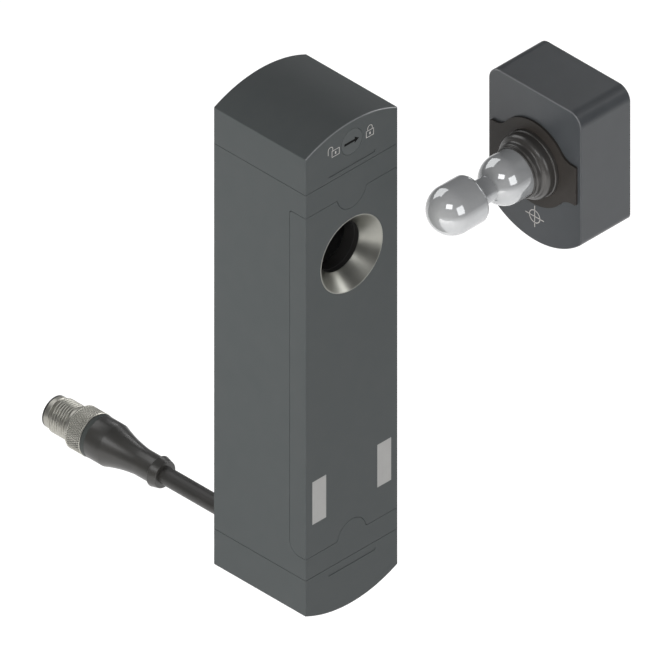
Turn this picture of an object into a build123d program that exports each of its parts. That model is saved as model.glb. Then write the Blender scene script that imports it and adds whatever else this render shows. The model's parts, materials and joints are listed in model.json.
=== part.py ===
from build123d import *
import os
from math import asin, cos, radians, sin, sqrt

# A tongue interlock switch for a machine guard: a slim tower on the machine frame, with a socket,
# a locking plate, a solenoid, its boards and a cable with a round plug, and an actuator on the guard
# with a tongue that gives a little. The guard stands open, so the actuator is apart and turned away.
# Frame: origin in the middle of the tower's rear face, +X to the right as seen from the front,
# +Y to the rear, +Z up. A depth is counted from the tower's front, a height from its lower corners.

# Tower casing
TOWER_WIDTH = 40.0
TOWER_DEPTH = 40.0
CORNER_HEIGHT = 171.7
ARCH_RISE = 4.65
EDGE_RADIUS = 0.4
ANCHOR = 1.0
SIDE_WALL = 3.0
FRONT_WALL = 3.0
REAR_WALL = 2.6
HEAD_CAP_HEIGHT = 13.5
FOOT_CAP_HEIGHT = 13.4
SEAM_GAP = 0.16
UPPER_BAND = 8.8
LOWER_BAND = 8.0
COVER_WRAP = 6.9
COVER_GAP = 0.14
COVER_TOP_CORNER = 1.0
COVER_BOTTOM_CORNER = 4.0
LOBE_RADIUS = 6.3
LOBE_REACH = 5.5
LOBE_FILLET = 1.0
PRY_SLOT_LENGTH = 20.5
PRY_SLOT_WIDTH = 1.2
PRY_SLOT_DEPTH = 0.14
HEAD_SLOT_DROP = 11.2
FOOT_SLOT_RISE = 10.8
SEAL_WIDTH = 1.2
SEAL_DEPTH = 0.8
SEAL_INSET = 0.8

# Snap tongues of the cover
SNAP_LENGTH = 6.0
SNAP_THICKNESS = 1.4
SNAP_REACH = 3.2
SNAP_BITE = 0.5
SNAP_RISES = (40.6, 70.6)
SNAP_DROP = 4.4

# Signal windows
WINDOW_WIDTH = 6.0
WINDOW_HEIGHT = 16.0
WINDOW_EDGE = 2.9
WINDOW_RISE = 33.1
WINDOW_LIP = 0.8

# Socket
SOCKET_DROP = 45.2
MOUTH_RADIUS = 13.25
BORE_RADIUS = 8.73
FUNNEL_DEPTH = 6.0
FUNNEL_RIM = 0.3
FUNNEL_WALL = 1.2
FUNNEL_FLANGE_RADIUS = 15.0
FUNNEL_FLANGE = 1.2
LINER_WALL = 1.5
LINER_STEP_DEPTH = 1.7
LINER_STEP = 0.25
FLANGE_PLAY = 1.0
FLANGE_MARGIN = 5.0
FLANGE_THICKNESS = 1.5
PLATE_DEPTH = 12.1
PLATE_THICKNESS = 5.0
PLATE_PLAY = 0.2
CUP_REAR_GAP = 0.2
CUP_END_WALL = 1.2
SOCKET_SCREW_INSET = 2.7
SOCKET_SCREW_RISE = 11.0
SOCKET_SCREW_BITE = 6.0

# Locking plate, plunger and release
PLATE_WIDTH = 24.0
PLATE_ABOVE = 12.0
PLATE_BELOW = 16.0
PLATE_WINDOW_RADIUS = 9.0
PLATE_NECK_WIDTH = 8.0
LOCK_TRAVEL = 4.6
GUIDE_HEIGHT = 29.0
GUIDE_PLAY = 0.15
PLATE_TAB_WIDTH = 6.0
PLATE_TAB_LENGTH = 5.0
PLUNGER_RADIUS = 4.5
PLUNGER_TOP_DROP = 1.0
FORK_PLAY = 0.1
CROSS_PIN_RADIUS = 1.0
TAIL_RADIUS = 1.6
TAIL_LENGTH = 11.0
FLAG_RADIUS = 3.0
FLAG_THICKNESS = 1.0
PLUNGER_PLAY = 0.1
RUNNING_GAP = 0.05
DIAL_DROP = 3.0
DIAL_RADIUS = 4.5
DIAL_THICKNESS = 1.5
DIAL_SHAFT_RADIUS = 2.0
DIAL_GAP = 0.1
SHAFT_SEAL = 1.2
CRANK_DISC_RADIUS = 3.6
CRANK_DISC_DEPTH = 7.5
CRANK_DISC_THICKNESS = 2.0
CRANK_THROW = 2.4
CRANK_PIN_RADIUS = 1.0
CRANK_PIN_LENGTH = 6.5
PAD_GAP = 0.1
ARROW_LENGTH = 6.4
ARROW_SHAFT = 0.9
ARROW_HEAD = 2.4
ARROW_HEAD_LENGTH = 1.92
ARROW_DEPTH = 0.4
CLIP_THICKNESS = 0.8
CLIP_RADIUS = 3.4
CLIP_GROOVE = 0.4
CLIP_MOUTH = 1.28

# Solenoid, its carrier and the sensor below it
SOLENOID_LOW = 64.0
SOLENOID_WIDTH = 24.0
SOLENOID_DEPTH = 19.2
SOLENOID_SHEET = 1.5
SPRING_GAP = 6.5
SPRING_WIRE = 0.55
SPRING_RADIUS = 5.6
SPRING_TURNS = 3
COIL_RADIUS = 9.3
WINDING_RADIUS = 8.6
BOBBIN_FLANGE = 1.5
BOBBIN_WALL = 1.0
CARRIER_SHEET = 1.6
CARRIER_BELOW = 10.5
CARRIER_ABOVE = 7.0
CARRIER_SCREW_INSET = 4.5
CARRIER_RIB = 5.0
SENSOR_WIDTH = 12.0
SENSOR_HEIGHT = 7.5
SENSOR_REACH = 14.0
SENSOR_SLOT_WIDTH = 7.2
SENSOR_SLOT_LENGTH = 9.0

# Coded reader coil behind the cover
CODE_DROP = 20.6
READER_RADIUS = 5.5
READER_BORE = 3.0
READER_THICKNESS = 1.4

# Boards
BOARD_THICKNESS = 1.6
BOARD_PLAY = 1.0
MAIN_BOARD_LOW = 20.0
MAIN_BOARD_HIGH = 53.0
MAIN_BOARD_REAR_GAP = 3.8
LIGHT_BOARD_THICKNESS = 1.2
LIGHT_BOARD_DEPTH = 7.5
LIGHT_BOARD_LOW = 30.5
SPACER_X = 9.0
SPACER_HEIGHTS = (36.0, 49.5)
SPACER_SIZE = 4.5
SPACER_STUD = 1.25
SPACER_STUD_LENGTH = 6.0
BOARD_POST_RADIUS = 2.6
LED_SIZE = 2.4
LED_THICKNESS = 1.2
LED_SPACING = 8.0
CHIP_SIZES = ((-9.5, 28.5, 7.0, 7.0), (0.0, 43.0, 9.0, 9.0), (10.5, 28.0, 5.0, 9.0))
CHIP_THICKNESS = 1.4
TERMINAL_WIDTH = 9.0
TERMINAL_HEIGHT = 6.0
TERMINAL_DEPTH = 7.0
WIRE_RADIUS = 0.5
WIRE_SPACING = 1.3
WIRE_COUNT = 4
WIRE_BEND = 6.0

# Screws
CAP_SCREW_X = 13.0
CAP_SCREW_OFFSET = 3.4
CAP_SCREW_RADIUS = 1.5
CAP_SCREW_HEAD = 2.8
CAP_SCREW_LENGTH = 8.0
LUG_WIDTH = 7.5
LUG_DEPTH = 7.0
LUG_HEIGHT = 6.4
LUG_PLAY = 0.15
SMALL_SCREW_RADIUS = 1.25
SMALL_HEAD_RADIUS = 2.2
SMALL_HEAD = 1.4
CARRIER_SCREW_LENGTH = 6.0
SCREW_GAP = 0.05
SCREW_SHORT = 1.0

# Fastening points at the rear: captive nuts behind clearance holes
BOLT_HOLE_RADIUS = 2.75
BOLT_X = 12.5
BOLT_INSET = 26.85
NUT_ACROSS = 8.0
NUT_THICKNESS = 4.0
NUT_BORE = 2.5
NUT_PLAY = 0.05
NUT_SEAT = 6.2

# Cable and plug
CABLE_HEIGHT = 2.85
CABLE_RADIUS = 2.95
CABLE_FREE_LENGTH = 40.9
GLAND_RADIUS = 4.2
GLAND_FLANGE_RADIUS = 5.6
GLAND_FLANGE = 1.5
PLUG_RING_START = 4.5
PLUG_RING_RADIUS = 5.27
PLUG_RING_LENGTH = 3.15
PLUG_NECK_RADIUS = 4.48
PLUG_NECK_LENGTH = 6.95
PLUG_TAPER_LENGTH = 12.3
PLUG_FLARE = 0.35
PLUG_RING_ROUND = 0.3
PLUG_RADIUS = 7.18
PLUG_BARREL_LENGTH = 7.4
NUT_END_GAP = 0.3
COUPLING_RADIUS = 7.45
COUPLING_LENGTH = 7.2
COUPLING_CHAMFER = 2.0
THREAD_RADIUS = 6.0
THREAD_LENGTH = 7.7
NOSE_RADIUS = 5.45
NOSE_LENGTH = 2.6
INSERT_RADIUS = 4.75
INSERT_PLAY = 0.1
INSERT_RIM_RADIUS = 5.4
INSERT_RIM = 0.45
INSERT_COLLAR = 5.25
COLLAR_START = 2.4
COLLAR_LENGTH = 1.4
COLLAR_PLAY = 0.2
CONTACT_CUP_RADIUS = 4.1
CONTACT_CUP_DEPTH = 7.5
CONTACT_RADIUS = 0.4
CONTACT_CIRCLE = 2.75
CONTACT_COUNT = 7
CONTACT_BITE = 3.0
CONTACT_SHORT = 1.0

# Actuator: its place with the guard open, and its sizes
ACTUATOR_FACE_X = 74.4
ACTUATOR_AXIS_Y = -45.0
ACTUATOR_WIDTH = 40.0
ACTUATOR_ABOVE_AXIS = 26.5
ACTUATOR_BELOW_AXIS = 29.7
ACTUATOR_ARC_RADIUS = 28.5
ACTUATOR_DEPTH = 21.5
ACTUATOR_TOP_RADIUS = 4.75
ACTUATOR_BOTTOM_RADIUS = 2.5
LEAST_ROUND = 0.5
ACTUATOR_FRONT_WALL = 3.5
ACTUATOR_WALL = 3.0
BACK_PLATE = 3.0
BACK_REBATE = 1.5
BACK_PLAY = 0.1
BACK_SCREW_X = 13.6
BACK_SCREW_TOP = 19.8
BACK_SCREW_BOTTOM = -19.8
BACK_POST = 3.6
BACK_SCREW_LENGTH = 9.0
ACTUATOR_BOLT_SPACING = 37.0
WING_WIDTH = 37.2
WING_HEIGHT = 14.3
WING_CIRCLE = 15.3
WING_FILLET = 6.0
WING_CORNER = 0.6
WING_THICKNESS = 0.8
BOOT_RADIUS = 11.3
BOOT_DRUM_END = 4.2
BOOT_STAGE_RADIUS = 9.6
BOOT_STAGE_END = 7.2
BOOT_LIP_RADIUS = 8.95
BOOT_LIP_END = 8.6
BOOT_SHOULDER = 1.5
BOOT_WALL = 1.1
BOOT_FLANGE_RADIUS = 13.0
BOOT_FLANGE = 1.2
BOOT_PLAY = 0.05
TONGUE_RADIUS = 8.2
TONGUE_TIP_CENTRE = 35.9
TONGUE_SHOULDER = 27.2
TONGUE_SHOULDER_FILLET = 1.5
TONGUE_NECK_RADIUS = 4.2
BULB_RADIUS = 8.25
BULB_CENTRE = 13.2
BULB_START = 5.0
SHANK_RADIUS = 5.0
PIVOT_DEPTH = 8.0
SHANK_TAIL = 4.0
SWIVEL_BORE = 6.2
SWIVEL_RADIUS = 9.8
SWIVEL_LENGTH = 6.0
SWIVEL_PIN_RADIUS = 1.5
SWIVEL_PIN_PLAY = 0.04
TRUNNION_GAP = 0.5
TRUNNION_HALF_HEIGHT = 3.5
TRUNNION_PIN_BITE = 3.7
TRANSPONDER_RADIUS = 5.0
TRANSPONDER_THICKNESS = 4.0

# Places worked out from the sizes above
half_width = TOWER_WIDTH / 2
inner_half_width = half_width - SIDE_WALL
inner_rear = TOWER_DEPTH - REAR_WALL
skin_side = half_width - ANCHOR
skin_rear = TOWER_DEPTH - ANCHOR
foot_seam = FOOT_CAP_HEIGHT
head_seam = CORNER_HEIGHT - HEAD_CAP_HEIGHT
cover_low = foot_seam + LOWER_BAND
cover_high = head_seam - UPPER_BAND
socket_height = CORNER_HEIGHT - SOCKET_DROP
dial_height = CORNER_HEIGHT - DIAL_DROP
window_x = half_width - WINDOW_EDGE - WINDOW_WIDTH / 2
window_height = WINDOW_RISE + WINDOW_HEIGHT / 2
plate_middle = PLATE_DEPTH + PLATE_THICKNESS / 2
plate_bottom = socket_height - PLATE_BELOW
pad_top = dial_height - CRANK_THROW - CRANK_PIN_RADIUS - PAD_GAP
guide_front = PLATE_DEPTH - PLATE_PLAY
guide_rear = PLATE_DEPTH + PLATE_THICKNESS + PLATE_PLAY
liner_outer = BORE_RADIUS + LINER_WALL
cup_end = inner_rear - CUP_REAR_GAP
flange_x = inner_half_width - FLANGE_PLAY
flange_rise = SOCKET_SCREW_RISE + FLANGE_MARGIN
socket_screw_x = inner_half_width - SOCKET_SCREW_INSET
main_board_rear = inner_rear - NUT_THICKNESS - MAIN_BOARD_REAR_GAP
main_board_front = main_board_rear - BOARD_THICKNESS
solenoid_top = plate_bottom - SPRING_GAP
carrier_low = SOLENOID_LOW - CARRIER_BELOW
carrier_high = solenoid_top + CARRIER_ABOVE
carrier_front = plate_middle + SOLENOID_DEPTH / 2
carrier_rear = carrier_front + CARRIER_SHEET
light_board_high = SPACER_HEIGHTS[-1] + SPACER_SIZE / 2
plug_nut_start = PLUG_RING_LENGTH + PLUG_NECK_LENGTH + PLUG_TAPER_LENGTH + PLUG_BARREL_LENGTH
coupling_start = plug_nut_start + NUT_END_GAP
thread_start = coupling_start + COUPLING_LENGTH
thread_end = thread_start + THREAD_LENGTH
nose_end = thread_end + NOSE_LENGTH
insert_end = nose_end + INSERT_PLAY + INSERT_RIM
trunnion_x = SWIVEL_RADIUS + TRUNNION_GAP
back_inner = -(ACTUATOR_DEPTH - BACK_PLATE)


def at(x, depth, height):
    """A point of the tower, from its depth behind the front and its height above the lower corners."""
    return Vector(x, depth - TOWER_DEPTH, height - CORNER_HEIGHT / 2)


def facing(x, depth, height):
    """A plane that faces forwards, with its x to the right and its y up."""
    return Plane(origin=at(x, depth, height), x_dir=(1, 0, 0), z_dir=(0, -1, 0))


def backwards(depth, height):
    """A plane whose z runs to the rear, for turned pieces on the middle line."""
    return Plane(origin=at(0, depth, height), x_dir=(1, 0, 0), z_dir=(0, 1, 0))


def actuator_plane():
    """The plane of the actuator's face: z along the tongue, y up, x across."""
    origin = at(ACTUATOR_FACE_X, 0, socket_height) + Vector(0, ACTUATOR_AXIS_Y + TOWER_DEPTH, 0)
    return Plane(origin=origin, x_dir=(0, -1, 0), z_dir=(-1, 0, 0))


def block(x_range, depth_range, height_range):
    """A box of the tower between two widths, two depths and two heights."""
    low = at(x_range[0], depth_range[0], height_range[0])
    high = at(x_range[1], depth_range[1], height_range[1])
    size = high - low
    return Pos(*((low + high) * 0.5)) * Box(size.X, size.Y, size.Z)


def both_sides(x_range, depth_range, height_range):
    """The same box on the right and on the left of the tower."""
    mirrored = (-x_range[1], -x_range[0])
    return block(x_range, depth_range, height_range) + block(mirrored, depth_range, height_range)


def rod(x, height, radius, depth_range):
    """A round bar along the tower's depth."""
    start, end = depth_range
    return extrude(facing(x, start, height) * Circle(radius), amount=-(end - start))


def local_rod(x, y, radius, z_range):
    """A round bar along the local z, before a piece is placed."""
    return Pos(x, y, z_range[0]) * Cylinder(
        radius, z_range[1] - z_range[0], align=(Align.CENTER, Align.CENTER, Align.MIN)
    )


def turned(face):
    """A body of revolution about the local z, from a face of (radius, z)."""
    return revolve(Plane.XZ * face, Axis.Z, 360)


def turned_points(points, rounds=()):
    """A body of revolution from (radius, z) corners, some rounded as (radius, z, rounding)."""
    face = make_face(Polyline(points, close=True))
    for radius, z, rounding in rounds:
        corner = face.vertices().filter_by(lambda v: abs(v.X - radius) + abs(v.Y - z) < 0.001)
        face = fillet(corner, rounding)
    return turned(face)


def at_spots(spots, piece):
    """The union of one piece at each (x, y) spot."""
    return Part() + [Pos(x, y, 0) * piece for x, y in spots]


def arched_face(half, low, high, rise_radius, top_centre, bottom_centre):
    """A face as seen from the front, straight at the sides and arched at top and bottom."""
    top_mid = top_centre + rise_radius
    bottom_mid = bottom_centre - rise_radius
    sides = [Line((-half, low), (-half, high)), Line((half, high), (half, low))]
    arches = [
        ThreePointArc((-half, high), (0, top_mid), (half, high)),
        ThreePointArc((half, low), (0, bottom_mid), (-half, low)),
    ]
    return make_face(Curve() + sides + arches)


def arch_values():
    """Radius of the tower's arches and the heights of their two centres."""
    radius = (half_width**2 + ARCH_RISE**2) / (2 * ARCH_RISE)
    return radius, CORNER_HEIGHT + ARCH_RISE - radius, radius - ARCH_RISE


def tower_blank():
    """The whole casing as one rounded block."""
    radius, top_centre, bottom_centre = arch_values()
    face = arched_face(half_width, 0, CORNER_HEIGHT, radius, top_centre, bottom_centre)
    blank = extrude(facing(0, 0, 0) * face, amount=-TOWER_DEPTH)
    return fillet(blank.edges(), EDGE_RADIUS)


def tower_cavity():
    """The hollow of the casing, the same wall inside the arches as at the sides."""
    radius, top_centre, bottom_centre = arch_values()
    radius = radius - SIDE_WALL
    reach = sqrt(radius**2 - inner_half_width**2)
    face = arched_face(
        inner_half_width, bottom_centre - reach, top_centre + reach, radius, top_centre, bottom_centre
    )
    return extrude(facing(0, FRONT_WALL, 0) * face, amount=-(inner_rear - FRONT_WALL))


def slab(low, high):
    """Everything between two heights, a little wider than the tower."""
    return block((-TOWER_WIDTH, TOWER_WIDTH), (-TOWER_DEPTH, 2 * TOWER_DEPTH), (low, high))


def lobe(height, upwards, grow):
    """Half disc that one front panel pushes into the other, with small fillets at its root."""
    radius = LOBE_RADIUS + grow
    side = 1 if upwards else -1
    centre = height - side * (LOBE_RADIUS - LOBE_REACH)
    root = radius + LOBE_FILLET
    strip_centre = height - side * LOBE_FILLET
    disc = Pos(0, centre) * Circle(radius)
    strip = Pos(0, strip_centre) * Rectangle(2 * root + 2 * LOBE_FILLET, 2 * (LOBE_FILLET + grow))
    face = disc + strip
    sharp = face.vertices().filter_by(lambda v: abs(v.Y - height - side * grow) < 0.01)
    sharp = sharp.filter_by(lambda v: abs(v.X) < root)
    face = fillet(sharp, LOBE_FILLET)
    return extrude(facing(0, -1, 0) * face, amount=-(FRONT_WALL + 1))


def cover_space(gap):
    """The space of the front cover, grown by a gap at its edges."""
    low, high = cover_low - gap, cover_high + gap
    depth = COVER_WRAP + gap
    side = Plane(origin=at(0, 0, 0), x_dir=(0, 1, 0), z_dir=(1, 0, 0))
    face = make_face(Polyline([(-1, low), (depth, low), (depth, high), (-1, high)], close=True))
    rear = face.vertices().filter_by(lambda v: v.X > 0)
    face = fillet(rear.filter_by(lambda v: v.Y < low + 1), COVER_BOTTOM_CORNER)
    rear = face.vertices().filter_by(lambda v: v.X > depth - 0.01)
    face = fillet(rear.filter_by(lambda v: v.Y > high - 0.01), COVER_TOP_CORNER)
    space = extrude(side * face, amount=TOWER_WIDTH, both=True)
    return space - lobe(cover_high, False, -gap) - lobe(cover_low, True, -gap)


def pry_slot(height):
    """Shallow slot in the front of a cap, where a blade lifts it."""
    face = SlotOverall(PRY_SLOT_LENGTH, PRY_SLOT_WIDTH)
    return extrude(facing(0, 0, height) * face, amount=-PRY_SLOT_DEPTH)


def seal_ring(grow, height_range):
    """Square ring that lies in the casing's wall all round."""
    outer = SEAL_INSET - grow
    inner = SEAL_INSET + SEAL_WIDTH + grow
    ring = block(
        (-half_width + outer, half_width - outer), (outer, TOWER_DEPTH - outer), height_range
    )
    return ring - block(
        (-half_width + inner, half_width - inner), (inner, TOWER_DEPTH - inner), height_range
    )


def nut_spots():
    """Where the four captive nuts lie, as (x, height)."""
    return [(x, height) for x in (-BOLT_X, BOLT_X) for height in (BOLT_INSET, CORNER_HEIGHT - BOLT_INSET)]


def hexagon(across, thickness):
    """A hexagonal prism with two corners up and down, its top at z 0 and its body below it."""
    return extrude(RegularPolygon(across / 2, 6, major_radius=False, rotation=30), amount=-thickness)


def cap_screw_spots():
    """Where the caps' screws go in from behind, as (x, height)."""
    heights = (head_seam - CAP_SCREW_OFFSET, foot_seam + CAP_SCREW_OFFSET)
    return [(x, height) for height in heights for x in (-CAP_SCREW_X, CAP_SCREW_X)]


def cap_screw(grow):
    """Countersunk screw whose flat head is at local z 0 and whose point is below."""
    radius, head = CAP_SCREW_RADIUS + grow, CAP_SCREW_HEAD + grow
    cone = head - radius
    point = -CAP_SCREW_LENGTH
    return turned_points([(0, 0), (head, 0), (radius, -cone), (radius, point), (0, point)])


def rearwards(x, height, piece):
    """Sets a piece with its local z pointing out of the tower's rear face."""
    plane = Plane(origin=at(x, TOWER_DEPTH, height), x_dir=(1, 0, 0), z_dir=(0, 1, 0))
    return plane * piece


def cap_lugs(seam, into):
    """Two lugs of a cap that reach into the housing, along its rear wall."""
    reach = seam + into * LUG_HEIGHT
    root = seam - into * LUG_HEIGHT
    outer_x = inner_half_width - LUG_PLAY
    inner_x, front = outer_x - LUG_WIDTH, inner_rear - LUG_DEPTH
    inside = both_sides((inner_x, outer_x), (front, inner_rear - LUG_PLAY), sorted((root, reach)))
    start = seam - into * SEAM_GAP / 2
    return inside + both_sides((inner_x, skin_side), (front, skin_rear), sorted((root, start)))


def socket_screw_spots():
    """Where the four socket screws stand, as (x, height)."""
    rises = (-SOCKET_SCREW_RISE, SOCKET_SCREW_RISE)
    return [(x, socket_height + rise) for x in (-socket_screw_x, socket_screw_x) for rise in rises]


def carrier_screw_spots():
    """Where the carrier's four screws stand, as (x, height)."""
    x = inner_half_width - CARRIER_RIB / 2
    heights = (carrier_low + CARRIER_SCREW_INSET, carrier_high - CARRIER_SCREW_INSET)
    return [(side * x, height) for side in (-1, 1) for height in heights]


def spacer_spots():
    """Where the boards' four spacers stand, as (x, height)."""
    return [(x, height) for x in (-SPACER_X, SPACER_X) for height in SPACER_HEIGHTS]


def rods(spots, radius, depth_range):
    """One round bar along the depth at each spot."""
    return Part() + [rod(x, height, radius, depth_range) for x, height in spots]


def housing():
    """Middle part of the casing: tube with rear wall, nut seats, ribs and posts, open for the cover."""
    gap = SEAM_GAP / 2
    body = tower_blank() & slab(foot_seam + gap, head_seam - gap)
    body -= tower_cavity()
    body -= cover_space(COVER_GAP)
    for x, height in nut_spots():
        side = 1 if x > 0 else -1
        edges = sorted((x - side * NUT_SEAT, side * skin_side))
        body += block(edges, (inner_rear - NUT_THICKNESS, skin_rear), (height - NUT_SEAT, height + NUT_SEAT))
    rib = (inner_half_width - CARRIER_RIB, skin_side)
    body += both_sides(rib, (carrier_rear, skin_rear), (carrier_low, carrier_high))
    for rise in (-SOCKET_SCREW_RISE, SOCKET_SCREW_RISE):
        height = socket_height + rise
        post = (socket_screw_x - BOARD_POST_RADIUS, skin_side)
        rear = (guide_rear + FLANGE_THICKNESS, skin_rear)
        body += both_sides(post, rear, (height - BOARD_POST_RADIUS, height + BOARD_POST_RADIUS))
    post_range = (main_board_rear, skin_rear)
    body += rods(spacer_spots(), BOARD_POST_RADIUS, post_range)
    stud_hole = (main_board_front, main_board_front + SPACER_STUD_LENGTH + SCREW_GAP)
    body -= rods(spacer_spots(), SPACER_STUD + SCREW_GAP, stud_hole)
    screw_hole = (guide_rear, guide_rear + FLANGE_THICKNESS + SOCKET_SCREW_BITE + SCREW_GAP)
    body -= rods(socket_screw_spots(), SMALL_SCREW_RADIUS + SCREW_GAP, screw_hole)
    carrier_hole = (carrier_front, carrier_front + CARRIER_SCREW_LENGTH + SCREW_GAP)
    body -= rods(carrier_screw_spots(), SMALL_SCREW_RADIUS + SCREW_GAP, carrier_hole)
    for x, height in nut_spots():
        pocket = hexagon(NUT_ACROSS + 2 * NUT_PLAY, NUT_THICKNESS)
        body -= rearwards(x, height, Pos(0, 0, -REAR_WALL) * pocket)
        body -= rod(x, height, BOLT_HOLE_RADIUS, (inner_rear - NUT_THICKNESS, TOWER_DEPTH))
    for x, height in cap_screw_spots():
        body -= rearwards(x, height, cap_screw(SCREW_GAP))
    body -= seal_ring(0, (head_seam - SEAL_DEPTH, head_seam))
    body -= seal_ring(0, (foot_seam, foot_seam + SEAL_DEPTH))
    return body


def captive_nuts():
    """Four hexagon nuts in the housing's rear seats."""
    nut = hexagon(NUT_ACROSS, NUT_THICKNESS) - local_rod(0, 0, NUT_BORE, (-NUT_THICKNESS, 0))
    return Part() + [rearwards(x, height, Pos(0, 0, -REAR_WALL) * nut) for x, height in nut_spots()]


def head_cap():
    """Arched cap on top, with the dial's seat and two lugs."""
    cap = tower_blank() & slab(head_seam + SEAM_GAP / 2, 2 * CORNER_HEIGHT)
    cap -= tower_cavity()
    cap += cap_lugs(head_seam, -1)
    boss_end = CRANK_DISC_DEPTH - DIAL_GAP - CLIP_THICKNESS - DIAL_GAP
    cap += rod(0, dial_height, DIAL_RADIUS, (FRONT_WALL / 2, boss_end))
    cap -= rod(0, dial_height, DIAL_RADIUS + DIAL_GAP, (0, DIAL_THICKNESS + DIAL_GAP))
    cap -= rod(0, dial_height, DIAL_SHAFT_RADIUS + RUNNING_GAP, (0, CRANK_DISC_DEPTH))
    seal_seat = (DIAL_THICKNESS + DIAL_GAP, DIAL_THICKNESS + DIAL_GAP + SHAFT_SEAL)
    cap -= rod(0, dial_height, DIAL_SHAFT_RADIUS + SHAFT_SEAL, seal_seat)
    cap -= pry_slot(CORNER_HEIGHT - HEAD_SLOT_DROP)
    for x, height in cap_screw_spots():
        cap -= rearwards(x, height, cap_screw(SCREW_GAP))
    return cap


def foot_cap():
    """Arched cap below, with the cable's way out and two lugs."""
    cap = tower_blank() & slab(-CORNER_HEIGHT, foot_seam - SEAM_GAP / 2)
    cap -= tower_cavity()
    cap += cap_lugs(foot_seam, 1)
    cap -= rod(0, CABLE_HEIGHT, GLAND_RADIUS, (inner_rear - ANCHOR, TOWER_DEPTH))
    cap -= pry_slot(FOOT_SLOT_RISE)
    for x, height in cap_screw_spots():
        cap -= rearwards(x, height, cap_screw(SCREW_GAP))
    return cap


def cap_screws(seam):
    """The two screws that hold one cap."""
    near = [(x, height) for x, height in cap_screw_spots() if abs(height - seam) < LUG_HEIGHT]
    return Part() + [rearwards(x, height, cap_screw(0)) for x, height in near]


def front_cover():
    """Cover that wraps the front and a strip of each side, with snap tongues inside."""
    cover = tower_blank() & cover_space(0)
    inner = (FRONT_WALL, TOWER_DEPTH)
    cover -= block((-inner_half_width, inner_half_width), inner, (0, CORNER_HEIGHT))
    for height in [cover_low + rise for rise in SNAP_RISES] + [cover_high - SNAP_DROP]:
        spread = (height - SNAP_LENGTH / 2, height + SNAP_LENGTH / 2)
        outer = inner_half_width - RUNNING_GAP
        inner_x, start = outer - SNAP_THICKNESS, FRONT_WALL - SNAP_BITE
        cover += both_sides((inner_x, outer), (start, COVER_WRAP + SNAP_REACH), spread)
        cover += both_sides((inner_x, skin_side), (start, COVER_WRAP), spread)
    cover -= rod(0, socket_height, MOUTH_RADIUS + FUNNEL_RIM + RUNNING_GAP, (0, FRONT_WALL))
    for side in (-1, 1):
        cover -= window_block(side, 0, (0, FRONT_WALL))
    return cover


def window_block(side, grow, depth_range):
    """Box of one window, made taller by a margin above and below."""
    half = WINDOW_WIDTH / 2
    tall = WINDOW_HEIGHT / 2 + grow
    x = side * window_x
    return block((x - half, x + half), depth_range, (window_height - tall, window_height + tall))


def window(side):
    """Light window, flush in the cover, with a lip behind it."""
    pane = window_block(side, 0, (0, FRONT_WALL))
    behind = (FRONT_WALL, FRONT_WALL + WINDOW_LIP)
    inside = inner_half_width - RUNNING_GAP
    lip = window_block(side, WINDOW_LIP, behind)
    return pane + (lip & block((-inside, inside), behind, (0, CORNER_HEIGHT)))


def seal(seam, into):
    """Flat seal between the housing and a cap."""
    start = seam + into * SEAM_GAP / 2
    end = seam - into * SEAL_DEPTH
    return seal_ring(0, sorted((start, end)))


def socket_funnel():
    """Turned steel mouth of the socket, clamped between the cover and the liner."""
    rim = MOUTH_RADIUS + FUNNEL_RIM
    flange_end = FRONT_WALL + FUNNEL_FLANGE
    points = [
        (MOUTH_RADIUS, 0),
        (rim, 0),
        (rim, FRONT_WALL),
        (FUNNEL_FLANGE_RADIUS, FRONT_WALL),
        (FUNNEL_FLANGE_RADIUS, flange_end),
        (liner_outer + FUNNEL_WALL, flange_end),
        (liner_outer, FUNNEL_DEPTH),
        (BORE_RADIUS, FUNNEL_DEPTH),
    ]
    return backwards(0, socket_height) * turned_points(points)


def flange(depth_range):
    """Square flange around the bore, with its four screw holes."""
    foot = socket_height - flange_rise
    plate = block((-flange_x, flange_x), depth_range, (foot, socket_height + flange_rise))
    notch = SPRING_RADIUS + 2 * SPRING_WIRE
    plate -= block((-notch, notch), depth_range, (foot, foot + LOCK_TRAVEL + SPRING_WIRE))
    return plate - rods(socket_screw_spots(), SMALL_SCREW_RADIUS + SCREW_GAP, depth_range)


def socket_sleeve():
    """Black liner behind the funnel, with a fine step in its bore."""
    liner = rod(0, socket_height, liner_outer, (FUNNEL_DEPTH, guide_front))
    liner += flange((guide_front - FLANGE_THICKNESS, guide_front))
    liner -= rod(0, socket_height, BORE_RADIUS, (FUNNEL_DEPTH, guide_front))
    step = (FUNNEL_DEPTH, FUNNEL_DEPTH + LINER_STEP_DEPTH)
    return liner - rod(0, socket_height, BORE_RADIUS + LINER_STEP, step)


def socket_cup():
    """Closed cup behind the locking plate, where the tongue's tip comes to rest."""
    cup = rod(0, socket_height, liner_outer, (guide_rear, cup_end))
    cup += flange((guide_rear, guide_rear + FLANGE_THICKNESS))
    return cup - rod(0, socket_height, BORE_RADIUS, (guide_rear, cup_end - CUP_END_WALL))


def plate_guides():
    """Two rails between the flanges, in which the locking plate runs."""
    inner = PLATE_WIDTH / 2 + GUIDE_PLAY
    heights = (socket_height - GUIDE_HEIGHT / 2, socket_height + GUIDE_HEIGHT / 2)
    depths = (guide_front, guide_rear)
    rails = both_sides((inner, inner_half_width - RUNNING_GAP), depths, heights)
    return rails - rods(socket_screw_spots(), SMALL_SCREW_RADIUS + SCREW_GAP, depths)


def headed_screws(spots, start, length):
    """Cylinder-headed screws whose heads end at a depth and whose shanks run on behind it."""
    heads = rods(spots, SMALL_HEAD_RADIUS, (start - SMALL_HEAD, start))
    return heads + rods(spots, SMALL_SCREW_RADIUS, (start, start + length))


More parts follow.
